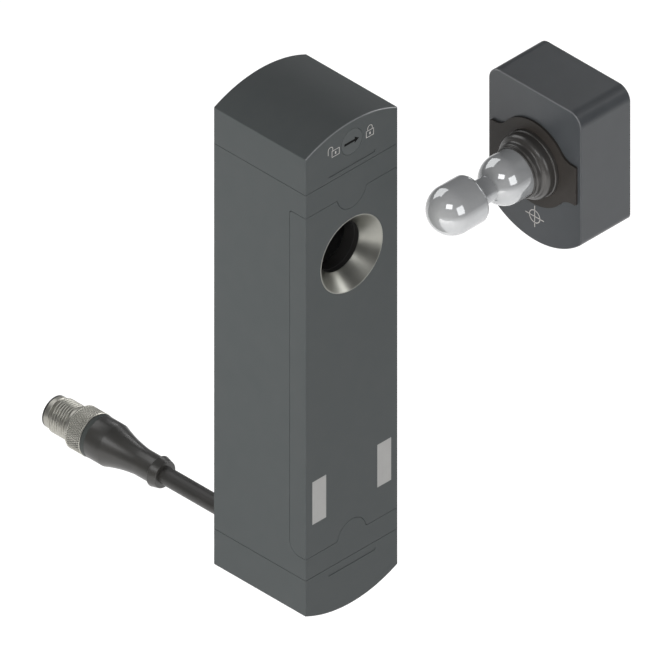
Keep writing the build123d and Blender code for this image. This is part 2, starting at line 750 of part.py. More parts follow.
def socket_screws():
    """Four screws through the liner's flange, the guides and the cup's flange into the housing."""
    start = guide_front - FLANGE_THICKNESS
    end = guide_rear + FLANGE_THICKNESS + SOCKET_SCREW_BITE
    return headed_screws(socket_screw_spots(), start, end - start)


def locking_plate():
    """Plate with a round window, a neck up to the release and a tab down to the plunger."""
    depths = (PLATE_DEPTH, PLATE_DEPTH + PLATE_THICKNESS)
    half = PLATE_WIDTH / 2
    plate = block((-half, half), depths, (plate_bottom, socket_height + PLATE_ABOVE))
    neck = PLATE_NECK_WIDTH / 2
    plate += block((-neck, neck), depths, (socket_height, pad_top))
    tab = PLATE_TAB_WIDTH / 2
    plate += block((-tab, tab), depths, (plate_bottom - PLATE_TAB_LENGTH, plate_bottom))
    plate -= rod(0, socket_height, PLATE_WINDOW_RADIUS, depths)
    return plate - rod(0, pin_height(), CROSS_PIN_RADIUS + SCREW_GAP, depths)


def pin_height():
    """Height of the pin that joins the plate's tab to the plunger."""
    return plate_bottom - PLATE_TAB_LENGTH / 2


def plunger():
    """Solenoid plunger, forked at the top around the tab, with a tail and a flag below."""
    top = plate_bottom - PLUNGER_TOP_DROP
    axis = Plane(origin=at(0, plate_middle, 0))
    body = axis * local_rod(0, 0, PLUNGER_RADIUS, (SOLENOID_LOW, top))
    tail_end = SOLENOID_LOW - TAIL_LENGTH
    body += axis * local_rod(0, 0, TAIL_RADIUS, (tail_end, SOLENOID_LOW))
    body += axis * local_rod(0, 0, FLAG_RADIUS, (tail_end, tail_end + FLAG_THICKNESS))
    fork = (PLATE_DEPTH - FORK_PLAY, PLATE_DEPTH + PLATE_THICKNESS + FORK_PLAY)
    fork_low = plate_bottom - PLATE_TAB_LENGTH - FORK_PLAY
    body -= block((-half_width, half_width), fork, (fork_low, plate_bottom))
    reach = (plate_middle - PLUNGER_RADIUS, plate_middle + PLUNGER_RADIUS)
    return body - rod(0, pin_height(), CROSS_PIN_RADIUS + SCREW_GAP, reach)


def plunger_pin():
    """Cross pin through the fork and the tab."""
    half = sqrt(PLUNGER_RADIUS**2 - CROSS_PIN_RADIUS**2) - SCREW_GAP
    return rod(0, pin_height(), CROSS_PIN_RADIUS, (plate_middle - half, plate_middle + half))


def solenoid_frame():
    """Folded steel loop around the coil, with holes for the plunger."""
    depths = (plate_middle - SOLENOID_DEPTH / 2, carrier_front)
    half = SOLENOID_WIDTH / 2
    frame = block((-half, half), depths, (SOLENOID_LOW, solenoid_top))
    inner = half - SOLENOID_SHEET
    frame -= block((-inner, inner), depths, (SOLENOID_LOW + SOLENOID_SHEET, solenoid_top - SOLENOID_SHEET))
    axis = Plane(origin=at(0, plate_middle, 0))
    return frame - axis * local_rod(0, 0, PLUNGER_RADIUS + PLUNGER_PLAY, (SOLENOID_LOW, solenoid_top))


def solenoid_bobbin():
    """Moulded spool inside the frame."""
    low, high = SOLENOID_LOW + SOLENOID_SHEET, solenoid_top - SOLENOID_SHEET
    bore = PLUNGER_RADIUS + PLUNGER_PLAY
    core = bore + BOBBIN_WALL
    points = [
        (bore, low), (COIL_RADIUS, low), (COIL_RADIUS, low + BOBBIN_FLANGE), (core, low + BOBBIN_FLANGE),
        (core, high - BOBBIN_FLANGE), (COIL_RADIUS, high - BOBBIN_FLANGE), (COIL_RADIUS, high), (bore, high),
    ]
    return Plane(origin=at(0, plate_middle, 0)) * turned_points(points)


def solenoid_winding():
    """Copper winding between the spool's flanges."""
    low = SOLENOID_LOW + SOLENOID_SHEET + BOBBIN_FLANGE
    high = solenoid_top - SOLENOID_SHEET - BOBBIN_FLANGE
    core = PLUNGER_RADIUS + PLUNGER_PLAY + BOBBIN_WALL
    points = [(core, low), (WINDING_RADIUS, low), (WINDING_RADIUS, high), (core, high)]
    return Plane(origin=at(0, plate_middle, 0)) * turned_points(points)


def lock_spring():
    """Coil spring between the solenoid and the locking plate."""
    height = SPRING_GAP - 2 * SPRING_WIRE - 2 * RUNNING_GAP
    path = Helix(height / SPRING_TURNS, height, SPRING_RADIUS)
    section = Plane(origin=path @ 0, z_dir=path % 0) * Circle(SPRING_WIRE)
    seat = at(0, plate_middle, solenoid_top + SPRING_WIRE + RUNNING_GAP)
    return Pos(*seat) * sweep(section, path=path)


def carrier():
    """Sheet that carries the solenoid and the sensor on the housing's ribs."""
    half = inner_half_width - RUNNING_GAP
    plate = block((-half, half), (carrier_front, carrier_rear), (carrier_low, carrier_high))
    hole = SMALL_SCREW_RADIUS + SCREW_GAP
    return plate - rods(carrier_screw_spots(), hole, (carrier_front, carrier_rear))


def lock_sensor():
    """Forked light barrier around the plunger's flag."""
    low = SOLENOID_LOW - TAIL_LENGTH - FLAG_THICKNESS
    half = SENSOR_WIDTH / 2
    depths = (carrier_front - SENSOR_REACH, carrier_front)
    body = block((-half, half), depths, (low, low + SENSOR_HEIGHT))
    slot = SENSOR_SLOT_WIDTH / 2
    slot_depths = (depths[0], depths[0] + SENSOR_SLOT_LENGTH)
    return body - block((-slot, slot), slot_depths, (low, low + SENSOR_HEIGHT))


def reader_coil():
    """Flat coil behind the cover that reads the actuator's code."""
    depths = (FRONT_WALL, FRONT_WALL + READER_THICKNESS)
    height = socket_height - CODE_DROP
    return rod(0, height, READER_RADIUS, depths) - rod(0, height, READER_BORE, depths)


def main_board():
    """Circuit board in front of the nut seats."""
    half = inner_half_width - BOARD_PLAY
    depths = (main_board_front, main_board_rear)
    board = block((-half, half), depths, (MAIN_BOARD_LOW, MAIN_BOARD_HIGH))
    return board - rods(spacer_spots(), SPACER_STUD + SCREW_GAP, depths)


def board_chips():
    """Chips on the front of the main board."""
    depths = (main_board_front - CHIP_THICKNESS, main_board_front)
    chips = [
        block((x - wide / 2, x + wide / 2), depths, (height - tall / 2, height + tall / 2))
        for x, height, wide, tall in CHIP_SIZES
    ]
    return Part() + chips


def cable_terminal():
    """Plug-in terminal at the foot of the main board."""
    half = TERMINAL_WIDTH / 2
    depths = (main_board_front - TERMINAL_DEPTH, main_board_front)
    return block((-half, half), depths, (MAIN_BOARD_LOW, MAIN_BOARD_LOW + TERMINAL_HEIGHT))


def light_board():
    """Small board behind the windows."""
    half = inner_half_width - BOARD_PLAY
    depths = (LIGHT_BOARD_DEPTH, LIGHT_BOARD_DEPTH + LIGHT_BOARD_THICKNESS)
    board = block((-half, half), depths, (LIGHT_BOARD_LOW, light_board_high))
    return board - rods(spacer_spots(), SMALL_SCREW_RADIUS + SCREW_GAP, depths)


def light_emitters():
    """Two light-emitting diodes behind each window."""
    half = LED_SIZE / 2
    depths = (LIGHT_BOARD_DEPTH - LED_THICKNESS, LIGHT_BOARD_DEPTH)
    heights = (window_height - LED_SPACING / 2, window_height + LED_SPACING / 2)
    across = (window_x - half, window_x + half)
    return Part() + [both_sides(across, depths, (height - half, height + half)) for height in heights]


def board_spacers():
    """Hexagon spacers between the two boards, with studs into the housing."""
    front = LIGHT_BOARD_DEPTH + LIGHT_BOARD_THICKNESS
    length = main_board_front - front
    stud = local_rod(0, 0, SPACER_STUD, (0, SPACER_STUD_LENGTH))
    core = local_rod(0, 0, SMALL_SCREW_RADIUS + SCREW_GAP, (-length, -length + CARRIER_SCREW_LENGTH))
    spacer = hexagon(SPACER_SIZE, length) + stud - core
    place = [backwards(main_board_front, height) * Pos(x, 0, 0) for x, height in spacer_spots()]
    return Part() + [spot * spacer for spot in place]


def board_screws():
    """Screws that hold the light board on its spacers."""
    length = LIGHT_BOARD_THICKNESS + CARRIER_SCREW_LENGTH - SCREW_SHORT
    return headed_screws(spacer_spots(), LIGHT_BOARD_DEPTH, length)


def carrier_screws():
    """Four screws through the carrier into the housing's ribs."""
    return headed_screws(carrier_screw_spots(), carrier_front, CARRIER_SCREW_LENGTH)


def inner_wires():
    """Four cores from the cable's end up to the terminal."""
    start = inner_rear - GLAND_FLANGE
    riser = main_board_front - TERMINAL_DEPTH / 2
    first = -WIRE_SPACING * (WIRE_COUNT - 1) / 2
    wires = []
    for x in [first + WIRE_SPACING * number for number in range(WIRE_COUNT)]:
        corners = [at(x, start, CABLE_HEIGHT), at(x, riser, CABLE_HEIGHT), at(x, riser, MAIN_BOARD_LOW)]
        path = FilletPolyline(*corners, radius=WIRE_BEND)
        wires.append(sweep(facing(x, start, CABLE_HEIGHT) * Circle(WIRE_RADIUS), path=path))
    return Part() + wires


def release_dial():
    """Round dial with an arrow slot, its shaft, and the crank that pushes the plate down."""
    axis = backwards(0, dial_height)
    body = local_rod(0, 0, DIAL_RADIUS, (0, DIAL_THICKNESS))
    body += local_rod(0, 0, DIAL_SHAFT_RADIUS, (0, CRANK_DISC_DEPTH))
    disc_end = CRANK_DISC_DEPTH + CRANK_DISC_THICKNESS
    body += local_rod(0, 0, CRANK_DISC_RADIUS, (CRANK_DISC_DEPTH, disc_end))
    body += local_rod(0, -CRANK_THROW, CRANK_PIN_RADIUS, (disc_end, disc_end + CRANK_PIN_LENGTH))
    body = axis * body
    groove = clip_ring(CLIP_RADIUS, DIAL_SHAFT_RADIUS - CLIP_GROOVE)
    tip, half_head, half_shaft = ARROW_LENGTH / 2, ARROW_HEAD / 2, ARROW_SHAFT / 2
    neck = tip - ARROW_HEAD_LENGTH
    outline = [
        (-tip, half_shaft), (neck, half_shaft), (neck, half_head), (tip, 0),
        (neck, -half_head), (neck, -half_shaft), (-tip, -half_shaft),
    ]
    arrow = make_face(Polyline(outline, close=True))
    return body - groove - extrude(facing(0, 0, dial_height) * arrow, amount=-ARROW_DEPTH)


def clip_ring(outer, inner):
    """Flat ring in front of the crank's disc."""
    end = CRANK_DISC_DEPTH - DIAL_GAP
    depths = (end - CLIP_THICKNESS, end)
    return rod(0, dial_height, outer, depths) - rod(0, dial_height, inner, depths)


def release_clip():
    """Spring clip that holds the dial's shaft in the head cap."""
    ring = clip_ring(CLIP_RADIUS, DIAL_SHAFT_RADIUS - CLIP_GROOVE)
    return ring - block((-CLIP_MOUTH, CLIP_MOUTH), (0, TOWER_DEPTH), (0, dial_height))


def release_seal():
    """Ring seal around the dial's shaft."""
    start = DIAL_THICKNESS + DIAL_GAP
    depths = (start, start + SHAFT_SEAL)
    ring = rod(0, dial_height, DIAL_SHAFT_RADIUS + SHAFT_SEAL, depths)
    return ring - rod(0, dial_height, DIAL_SHAFT_RADIUS + RUNNING_GAP, depths)


def cable_gland():
    """Rubber sleeve that seals the cable in the foot cap's rear wall."""
    start = inner_rear - GLAND_FLANGE
    body = rod(0, CABLE_HEIGHT, GLAND_RADIUS, (start, TOWER_DEPTH))
    body += rod(0, CABLE_HEIGHT, GLAND_FLANGE_RADIUS, (start, inner_rear)) & slab(0, CORNER_HEIGHT)
    return body - rod(0, CABLE_HEIGHT, CABLE_RADIUS, (start, TOWER_DEPTH))


def cable():
    """Straight cable from inside the gland to the plug."""
    start = inner_rear - GLAND_FLANGE
    return rod(0, CABLE_HEIGHT, CABLE_RADIUS, (start, TOWER_DEPTH + CABLE_FREE_LENGTH))


def on_plug(piece):
    """Sets a piece whose local z 0 is the plug's cable end."""
    return backwards(TOWER_DEPTH + CABLE_FREE_LENGTH, CABLE_HEIGHT) * piece


def plug_body():
    """Moulded plug: slightly conical ring, neck, flared shoulder and barrel."""
    ring_end = PLUG_RING_LENGTH
    neck_end = ring_end + PLUG_NECK_LENGTH
    taper_end = neck_end + PLUG_TAPER_LENGTH
    barrel_end = plug_nut_start
    flare = ThreePointArc(
        (PLUG_NECK_RADIUS, neck_end),
        (PLUG_NECK_RADIUS + PLUG_FLARE * (PLUG_RADIUS - PLUG_NECK_RADIUS), (neck_end + taper_end) / 2),
        (PLUG_RADIUS, taper_end),
    )
    corners = [
        (PLUG_RADIUS, taper_end), (PLUG_RADIUS, barrel_end), (0, barrel_end), (0, 0), (PLUG_RING_START, 0),
        (PLUG_RING_RADIUS, ring_end), (PLUG_NECK_RADIUS, ring_end), (PLUG_NECK_RADIUS, neck_end),
    ]
    face = make_face(Curve() + [flare, Polyline(corners)])
    ring = face.vertices().filter_by(lambda v: v.X >= PLUG_RING_START and v.Y < ring_end + 0.001)
    return on_plug(turned(fillet(ring, PLUG_RING_ROUND)))


def contact_insert():
    """Contact carrier with the collar that keeps the coupling nut, and a rim in front of the thread."""
    collar = coupling_start + COLLAR_START
    collar_end = collar + COLLAR_LENGTH
    rim = nose_end + INSERT_PLAY
    floor = insert_end - CONTACT_CUP_DEPTH
    points = [
        (0, plug_nut_start), (INSERT_RADIUS, plug_nut_start), (INSERT_RADIUS, collar),
        (INSERT_COLLAR, collar), (INSERT_COLLAR, collar_end), (INSERT_RADIUS, collar_end),
        (INSERT_RADIUS, rim), (INSERT_RIM_RADIUS, rim), (INSERT_RIM_RADIUS, insert_end),
        (CONTACT_CUP_RADIUS, insert_end), (CONTACT_CUP_RADIUS, floor), (0, floor),
    ]
    hole = CONTACT_RADIUS + SCREW_GAP
    holes = [local_rod(x, y, hole, (floor - CONTACT_BITE, floor)) for x, y in contact_spots()]
    return on_plug(turned_points(points) - holes)


def contact_spots():
    """Centre contact and a ring of contacts around it."""
    angles = [radians(360 / CONTACT_COUNT * number) for number in range(CONTACT_COUNT)]
    return [(0, 0)] + [(CONTACT_CIRCLE * sin(angle), CONTACT_CIRCLE * cos(angle)) for angle in angles]


def contact_pins():
    """The plug's contact pins."""
    z_range = (insert_end - CONTACT_CUP_DEPTH - CONTACT_BITE, insert_end - CONTACT_SHORT)
    return on_plug(Part() + [local_rod(x, y, CONTACT_RADIUS, z_range) for x, y in contact_spots()])


def coupling_nut():
    """Knurled coupling nut with its thread and smooth nose, free to spin on the insert."""
    bore = INSERT_RADIUS + INSERT_PLAY
    groove = INSERT_COLLAR + INSERT_PLAY
    groove_start = coupling_start + COLLAR_START - COLLAR_PLAY
    groove_end = coupling_start + COLLAR_START + COLLAR_LENGTH + COLLAR_PLAY
    points = [
        (bore, coupling_start), (COUPLING_RADIUS, coupling_start),
        (COUPLING_RADIUS, thread_start - COUPLING_CHAMFER / 2),
        (THREAD_RADIUS, thread_start), (THREAD_RADIUS, thread_end), (NOSE_RADIUS, thread_end),
        (NOSE_RADIUS, nose_end), (bore, nose_end),
        (bore, groove_end), (groove, groove_end), (groove, groove_start), (bore, groove_start),
    ]
    return on_plug(turned_points(points))


def actuator_outline(inset):
    """Outline of the actuator as seen from its face, with a round bottom and round corners."""
    half = ACTUATOR_WIDTH / 2 - inset
    top = ACTUATOR_ABOVE_AXIS - inset
    centre = ACTUATOR_ARC_RADIUS - ACTUATOR_BELOW_AXIS
    inner = ACTUATOR_ARC_RADIUS - inset
    low = centre - sqrt(inner**2 - half**2)
    edges = [
        Line((-half, low), (-half, top)), Line((-half, top), (half, top)), Line((half, top), (half, low)),
        ThreePointArc((half, low), (0, centre - inner), (-half, low)),
    ]
    face = make_face(Curve() + edges)
    face = fillet(face.vertices().filter_by(lambda v: v.Y > 0), inner_round(ACTUATOR_TOP_RADIUS, inset))
    corners = face.vertices().filter_by(lambda v: abs(v.Y - low) < 0.01)
    return fillet(corners, inner_round(ACTUATOR_BOTTOM_RADIUS, inset))


def inner_round(radius, inset):
    """Radius of an inset corner, never sharper than the least rounding."""
    return max(radius - inset, LEAST_ROUND)


def back_screw_spots():
    """Where the back plate's four screws stand, in the actuator's own x and y."""
    return [(x, y) for x in (-BACK_SCREW_X, BACK_SCREW_X) for y in (BACK_SCREW_BOTTOM, BACK_SCREW_TOP)]


def actuator_bolt_spots():
    """The actuator's two captive nuts, in its own x and y."""
    return [(0, -ACTUATOR_BOLT_SPACING / 2), (0, ACTUATOR_BOLT_SPACING / 2)]


def actuator_housing():
    """Moulded actuator body with a pocket at the back, trunnion bosses and screw posts."""
    body = extrude(actuator_outline(0), amount=-ACTUATOR_DEPTH)
    body = fillet(body.faces().sort_by(Axis.Z)[-1].edges(), EDGE_RADIUS)
    pocket_top = -ACTUATOR_FRONT_WALL
    pocket = Pos(0, 0, pocket_top) * extrude(actuator_outline(ACTUATOR_WALL), amount=-ACTUATOR_DEPTH)
    half = ACTUATOR_WIDTH / 2
    posts = at_spots(back_screw_spots(), Pos(0, 0, pocket_top) * corner_post())
    trunnions = trunnion_box(trunnion_x, half) + trunnion_box(-half, -trunnion_x)
    blank = extrude(actuator_outline(ANCHOR), amount=back_inner)
    body = body - pocket + ((posts + trunnions) & blank)
    body -= Pos(0, 0, back_inner) * extrude(actuator_outline(BACK_REBATE), amount=-ACTUATOR_DEPTH)
    hole = BOOT_RADIUS - BOOT_WALL + BOOT_PLAY
    body -= local_rod(0, 0, hole, (pocket_top, 0))
    body -= local_rod(0, 0, BOOT_FLANGE_RADIUS + BOOT_PLAY, (-BOOT_FLANGE, 0))
    body -= pitch_axis_rod(SWIVEL_PIN_RADIUS + SWIVEL_PIN_PLAY, trunnion_x + TRUNNION_PIN_BITE)
    screw_range = (back_inner, back_inner + BACK_SCREW_LENGTH)
    screw_hole = local_rod(0, 0, SMALL_SCREW_RADIUS + SCREW_GAP, screw_range)
    body -= at_spots(back_screw_spots(), screw_hole)
    return actuator_plane() * body


def corner_post():
    """Square post that carries one back screw."""
    return Box(2 * BACK_POST, 2 * BACK_POST, ACTUATOR_DEPTH, align=(Align.CENTER, Align.CENTER, Align.MAX))


def trunnion_box(low, high):
    """Boss of the actuator housing that carries one trunnion pin."""
    depth = PIVOT_DEPTH + TRUNNION_HALF_HEIGHT
    return Pos((low + high) / 2, 0, 0) * Box(
        high - low, 2 * TRUNNION_HALF_HEIGHT, depth, align=(Align.CENTER, Align.CENTER, Align.MAX)
    )


def pitch_axis_rod(radius, reach):
    """Round bar along the pitch axis, from one side of the actuator to the other."""
    return Pos(0, 0, -PIVOT_DEPTH) * Rot(0, 90, 0) * Cylinder(radius, 2 * reach)


def yaw_axis_rod(radius, reach):
    """Round bar along the yaw axis."""
    return Pos(0, 0, -PIVOT_DEPTH) * Rot(90, 0, 0) * Cylinder(radius, 2 * reach)


def back_cap():
    """Back plate in its rebate, with seats for the two captive nuts."""
    plate = Pos(0, 0, back_inner) * extrude(actuator_outline(BACK_REBATE + BACK_PLAY), amount=-BACK_PLATE)
    seat_reach = (back_inner, back_inner + NUT_THICKNESS)
    space = extrude(actuator_outline(ACTUATOR_WALL + BACK_PLAY), amount=-BACK_PLATE - NUT_THICKNESS)
    clear = Pos(0, 0, seat_reach[1]) * space
    for x, y in actuator_bolt_spots():
        plate += local_rod(x, y, NUT_SEAT, seat_reach) & clear
        plate -= Pos(x, y, seat_reach[1]) * hexagon(NUT_ACROSS + 2 * NUT_PLAY, NUT_THICKNESS)
        plate -= local_rod(x, y, BOLT_HOLE_RADIUS, (-ACTUATOR_DEPTH, back_inner))
    for x, y in back_screw_spots():
        plate -= Pos(x, y, -ACTUATOR_DEPTH) * back_screw(SCREW_GAP)
    return actuator_plane() * plate


def back_screw(grow):
    """Countersunk screw with its flat head at local z 0 and its point above."""
    radius, head = SMALL_SCREW_RADIUS + grow, SMALL_HEAD_RADIUS + grow
    length = BACK_PLATE + BACK_SCREW_LENGTH - SCREW_SHORT
    return turned_points([(0, 0), (head, 0), (radius, head - radius), (radius, length), (0, length)])


def back_screws():
    """Four screws that hold the back plate."""
    screws = [Pos(x, y, -ACTUATOR_DEPTH) * back_screw(0) for x, y in back_screw_spots()]
    return actuator_plane() * (Part() + screws)


def actuator_nuts():
    """Two hexagon nuts in the back plate's seats."""
    top = back_inner + NUT_THICKNESS
    nut = hexagon(NUT_ACROSS, NUT_THICKNESS) - local_rod(0, 0, NUT_BORE, (-NUT_THICKNESS, 0))
    return actuator_plane() * (Part() + [Pos(x, y, top) * nut for x, y in actuator_bolt_spots()])


def wing_plate():
    """Dark bezel around the boot, round in the middle with a wing at each side."""
    face = Rectangle(WING_WIDTH, WING_HEIGHT) + Circle(WING_CIRCLE)
    roots = face.vertices().filter_by(lambda v: abs(v.X) < WING_WIDTH / 2 - 1)
    face = fillet(roots, WING_FILLET)
    face = fillet(face.vertices().filter_by(lambda v: abs(v.X) > WING_WIDTH / 2 - 0.01), WING_CORNER)
    face -= Circle(BOOT_RADIUS + BOOT_PLAY)
    return actuator_plane() * extrude(face, amount=WING_THICKNESS)


def rubber_boot():
    """Stepped rubber boot between the bezel and the tongue."""
    drum, stage, lip = BOOT_RADIUS, BOOT_STAGE_RADIUS, BOOT_LIP_RADIUS
    inside = drum - BOOT_WALL
    hold = BULB_RADIUS + BOOT_PLAY
    points = [
        (inside, -BOOT_FLANGE), (BOOT_FLANGE_RADIUS, -BOOT_FLANGE), (BOOT_FLANGE_RADIUS, -BOOT_PLAY),
        (drum, -BOOT_PLAY), (drum, BOOT_DRUM_END), (stage, BOOT_DRUM_END), (stage, BOOT_STAGE_END),
        (lip, BOOT_STAGE_END), (lip, BOOT_LIP_END), (hold, BOOT_LIP_END), (hold, BOOT_DRUM_END - BOOT_WALL),
        (inside, BOOT_DRUM_END - BOOT_WALL),
    ]
    rounds = [(drum, BOOT_DRUM_END, BOOT_SHOULDER), (stage, BOOT_STAGE_END, BOOT_WALL / 2)]
    return actuator_plane() * turned_points(points, rounds)


def tongue():
    """Polished tongue: round tip, waist for the locking plate, round bulb and the shank behind it."""
    waist = TONGUE_NECK_RADIUS
    waist_start = BULB_CENTRE + sqrt(BULB_RADIUS**2 - waist**2)
    middle = (asin(waist / BULB_RADIUS) + radians(90)) / 2
    bulb_mid = (BULB_RADIUS * sin(middle), BULB_CENTRE + BULB_RADIUS * cos(middle))
    tip_mid = (TONGUE_RADIUS * sin(radians(45)), TONGUE_TIP_CENTRE + TONGUE_RADIUS * cos(radians(45)))
    tail = -PIVOT_DEPTH - SHANK_TAIL
    corners = [
        (0, TONGUE_TIP_CENTRE + TONGUE_RADIUS), (0, tail), (SHANK_RADIUS, tail), (SHANK_RADIUS, BULB_START),
        (BULB_RADIUS, BULB_START), (BULB_RADIUS, BULB_CENTRE),
    ]
    edges = [
        Polyline(corners),
        ThreePointArc((BULB_RADIUS, BULB_CENTRE), bulb_mid, (waist, waist_start)),
        Polyline([
            (waist, waist_start), (waist, TONGUE_SHOULDER),
            (TONGUE_RADIUS, TONGUE_SHOULDER), (TONGUE_RADIUS, TONGUE_TIP_CENTRE),
        ]),
        ThreePointArc((TONGUE_RADIUS, TONGUE_TIP_CENTRE), tip_mid, (0, TONGUE_TIP_CENTRE + TONGUE_RADIUS)),
    ]
    face = make_face(Curve() + edges)
    shoulder = face.vertices().filter_by(
        lambda v: abs(v.X - TONGUE_RADIUS) + abs(v.Y - TONGUE_SHOULDER) < 0.001
    )
    body = turned(fillet(shoulder, TONGUE_SHOULDER_FILLET))
    body -= yaw_axis_rod(SWIVEL_PIN_RADIUS + SCREW_GAP, SWIVEL_RADIUS)
    return actuator_plane() * body


def swivel_ring():
    """Ring between the tongue and the housing, with the two crossed pivot axes."""
    middle = (-PIVOT_DEPTH - SWIVEL_LENGTH / 2, -PIVOT_DEPTH + SWIVEL_LENGTH / 2)
    ring = local_rod(0, 0, SWIVEL_RADIUS, middle) - local_rod(0, 0, SWIVEL_BORE, middle)
    ring -= yaw_axis_rod(SWIVEL_PIN_RADIUS + SWIVEL_PIN_PLAY, SWIVEL_RADIUS)
    ring -= pitch_axis_rod(SWIVEL_PIN_RADIUS + SCREW_GAP, SWIVEL_RADIUS)
    return actuator_plane() * ring


def yaw_pin():
    """Cross pin through the tongue's shank, turning in the ring."""
    reach = sqrt(SWIVEL_RADIUS**2 - SWIVEL_PIN_RADIUS**2) - SCREW_GAP
    return actuator_plane() * yaw_axis_rod(SWIVEL_PIN_RADIUS, reach)


def pitch_pins():
    """Two pins from the ring into the housing's trunnion bosses."""
    outer = trunnion_x + TRUNNION_PIN_BITE - SCREW_GAP
    pins = pitch_axis_rod(SWIVEL_PIN_RADIUS, outer) - pitch_axis_rod(SWIVEL_RADIUS, SWIVEL_BORE)
    return actuator_plane() * pins


def transponder():
    """Coded transponder behind the actuator's face, below the tongue."""
    top = -ACTUATOR_FRONT_WALL
    z_range = (top - TRANSPONDER_THICKNESS, top)
    return actuator_plane() * local_rod(0, -CODE_DROP, TRANSPONDER_RADIUS, z_range)


def write(name, piece):
    """Writes one piece to its own file."""
    export_step(piece, os.path.join("parts", name + ".step"))


PIECES = {
    "housing": housing,
    "head_cap": head_cap,
    "foot_cap": foot_cap,
    "head_seal": lambda: seal(head_seam, 1),
    "foot_seal": lambda: seal(foot_seam, -1),
    "head_cap_screws": lambda: cap_screws(head_seam),
    "foot_cap_screws": lambda: cap_screws(foot_seam),
    "front_cover": front_cover,
    "left_window": lambda: window(-1),
    "right_window": lambda: window(1),
    "captive_nuts": captive_nuts,
    "socket_funnel": socket_funnel,
    "socket_sleeve": socket_sleeve,
    "socket_cup": socket_cup,
    "plate_guides": plate_guides,
    "socket_screws": socket_screws,
    "reader_coil": reader_coil,
    "solenoid_frame": solenoid_frame,
    "solenoid_bobbin": solenoid_bobbin,
    "solenoid_winding": solenoid_winding,
    "lock_spring": lock_spring,
    "carrier": carrier,
    "carrier_screws": carrier_screws,
    "lock_sensor": lock_sensor,
    "main_board": main_board,
    "board_chips": board_chips,
    "cable_terminal": cable_terminal,
    "inner_wires": inner_wires,
    "light_board": light_board,
    "light_emitters": light_emitters,
    "board_spacers": board_spacers,
    "board_screws": board_screws,
    "release_seal": release_seal,
    "cable_gland": cable_gland,
    "cable": cable,
    "plug_body": plug_body,
    "contact_insert": contact_insert,
    "contact_pins": contact_pins,
    "locking_plate": locking_plate,
    "plunger": plunger,
    "plunger_pin": plunger_pin,
    "release_dial": release_dial,
    "release_clip": release_clip,
    "coupling_nut": coupling_nut,
    "actuator_housing": actuator_housing,
    "actuator_back": back_cap,
    "actuator_nuts": actuator_nuts,
    "back_screws": back_screws,
    "wing_plate": wing_plate,
    "rubber_boot": rubber_boot,
    "transponder": transponder,
    "swivel_ring": swivel_ring,
    "pitch_pins": pitch_pins,
    "tongue": tongue,
    "yaw_pin": yaw_pin,
}

os.makedirs("parts", exist_ok=True)
for piece_name, make in PIECES.items():
    write(piece_name, make())
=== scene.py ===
# %% [markdown]
# A tongue interlock switch is a safety lock for the door of a machine. The tall tower stands on the
# door's frame. The small actuator stands on the door, and its steel tongue goes into the tower's socket.
# The CAD model already holds every rigid part at its real size. Here they get their finish, and the turned,
# knurled, threaded and rubber pieces are made again as smooth, detailed meshes in the same place.

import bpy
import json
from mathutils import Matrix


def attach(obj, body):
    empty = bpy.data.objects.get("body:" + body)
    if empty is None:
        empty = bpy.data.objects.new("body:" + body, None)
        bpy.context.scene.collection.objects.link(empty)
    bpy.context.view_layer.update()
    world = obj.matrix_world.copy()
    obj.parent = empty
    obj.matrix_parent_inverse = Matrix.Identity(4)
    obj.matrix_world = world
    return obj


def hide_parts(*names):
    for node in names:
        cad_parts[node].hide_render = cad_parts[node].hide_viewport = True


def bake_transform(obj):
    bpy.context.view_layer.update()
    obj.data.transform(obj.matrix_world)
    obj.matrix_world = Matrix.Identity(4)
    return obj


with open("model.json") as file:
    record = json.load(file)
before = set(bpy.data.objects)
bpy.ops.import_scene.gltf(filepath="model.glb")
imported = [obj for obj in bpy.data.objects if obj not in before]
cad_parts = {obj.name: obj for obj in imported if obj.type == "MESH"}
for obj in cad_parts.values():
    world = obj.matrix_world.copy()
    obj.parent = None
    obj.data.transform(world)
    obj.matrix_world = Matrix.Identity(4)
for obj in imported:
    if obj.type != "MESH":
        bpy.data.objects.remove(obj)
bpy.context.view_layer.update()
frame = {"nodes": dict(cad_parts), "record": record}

import json
from math import asin, atan2, cos, pi, radians, sin, sqrt, tau

import bmesh
import bpy
from mathutils import Matrix, Vector

MM = 0.001

# %% [markdown]
# The picture is a parallel view: edges that are parallel on the object stay parallel in it, and a round
# plug far behind is as large as it would be in front. So the camera is orthographic, and one number, the
# width that it sees, sets the scale. It looks from the front left and from above, equally along all three
# axes, which is the isometric view of technical drawings.

# %% Camera
SEEN_WIDTH = 204.4 * MM
VIEW_CENTRE = Vector((9.47, -22.39, 0)) * MM
TOWARDS_CAMERA = Vector((-1, -1, 1)).normalized()
CAMERA_AWAY = 1.2

camera_data = bpy.data.cameras.new("studio_camera")
camera_data.type = "ORTHO"
camera_data.ortho_scale = SEEN_WIDTH
camera_data.clip_end = 10
camera = bpy.data.objects.new("studio_camera", camera_data)
camera.location = VIEW_CENTRE + TOWARDS_CAMERA * CAMERA_AWAY
camera.rotation_mode = "QUATERNION"
camera.rotation_quaternion = (-TOWARDS_CAMERA).to_track_quat("-Z", "Y")
bpy.context.scene.collection.objects.link(camera)
bpy.context.scene.camera = camera
bpy.context.scene.view_settings.view_transform = "Standard"
print("camera sees", round(SEEN_WIDTH / MM, 1), "mm across")

# %% [markdown]
# Materials are small networks of nodes. Their maths reads best as ordinary sums, so one small class wraps
# the output of a node and adds the Math nodes that a sum needs. Everything else, such as a noise or a bump,
# comes from its one method `node`, which takes the kind of node, its settings and what goes into its sockets.

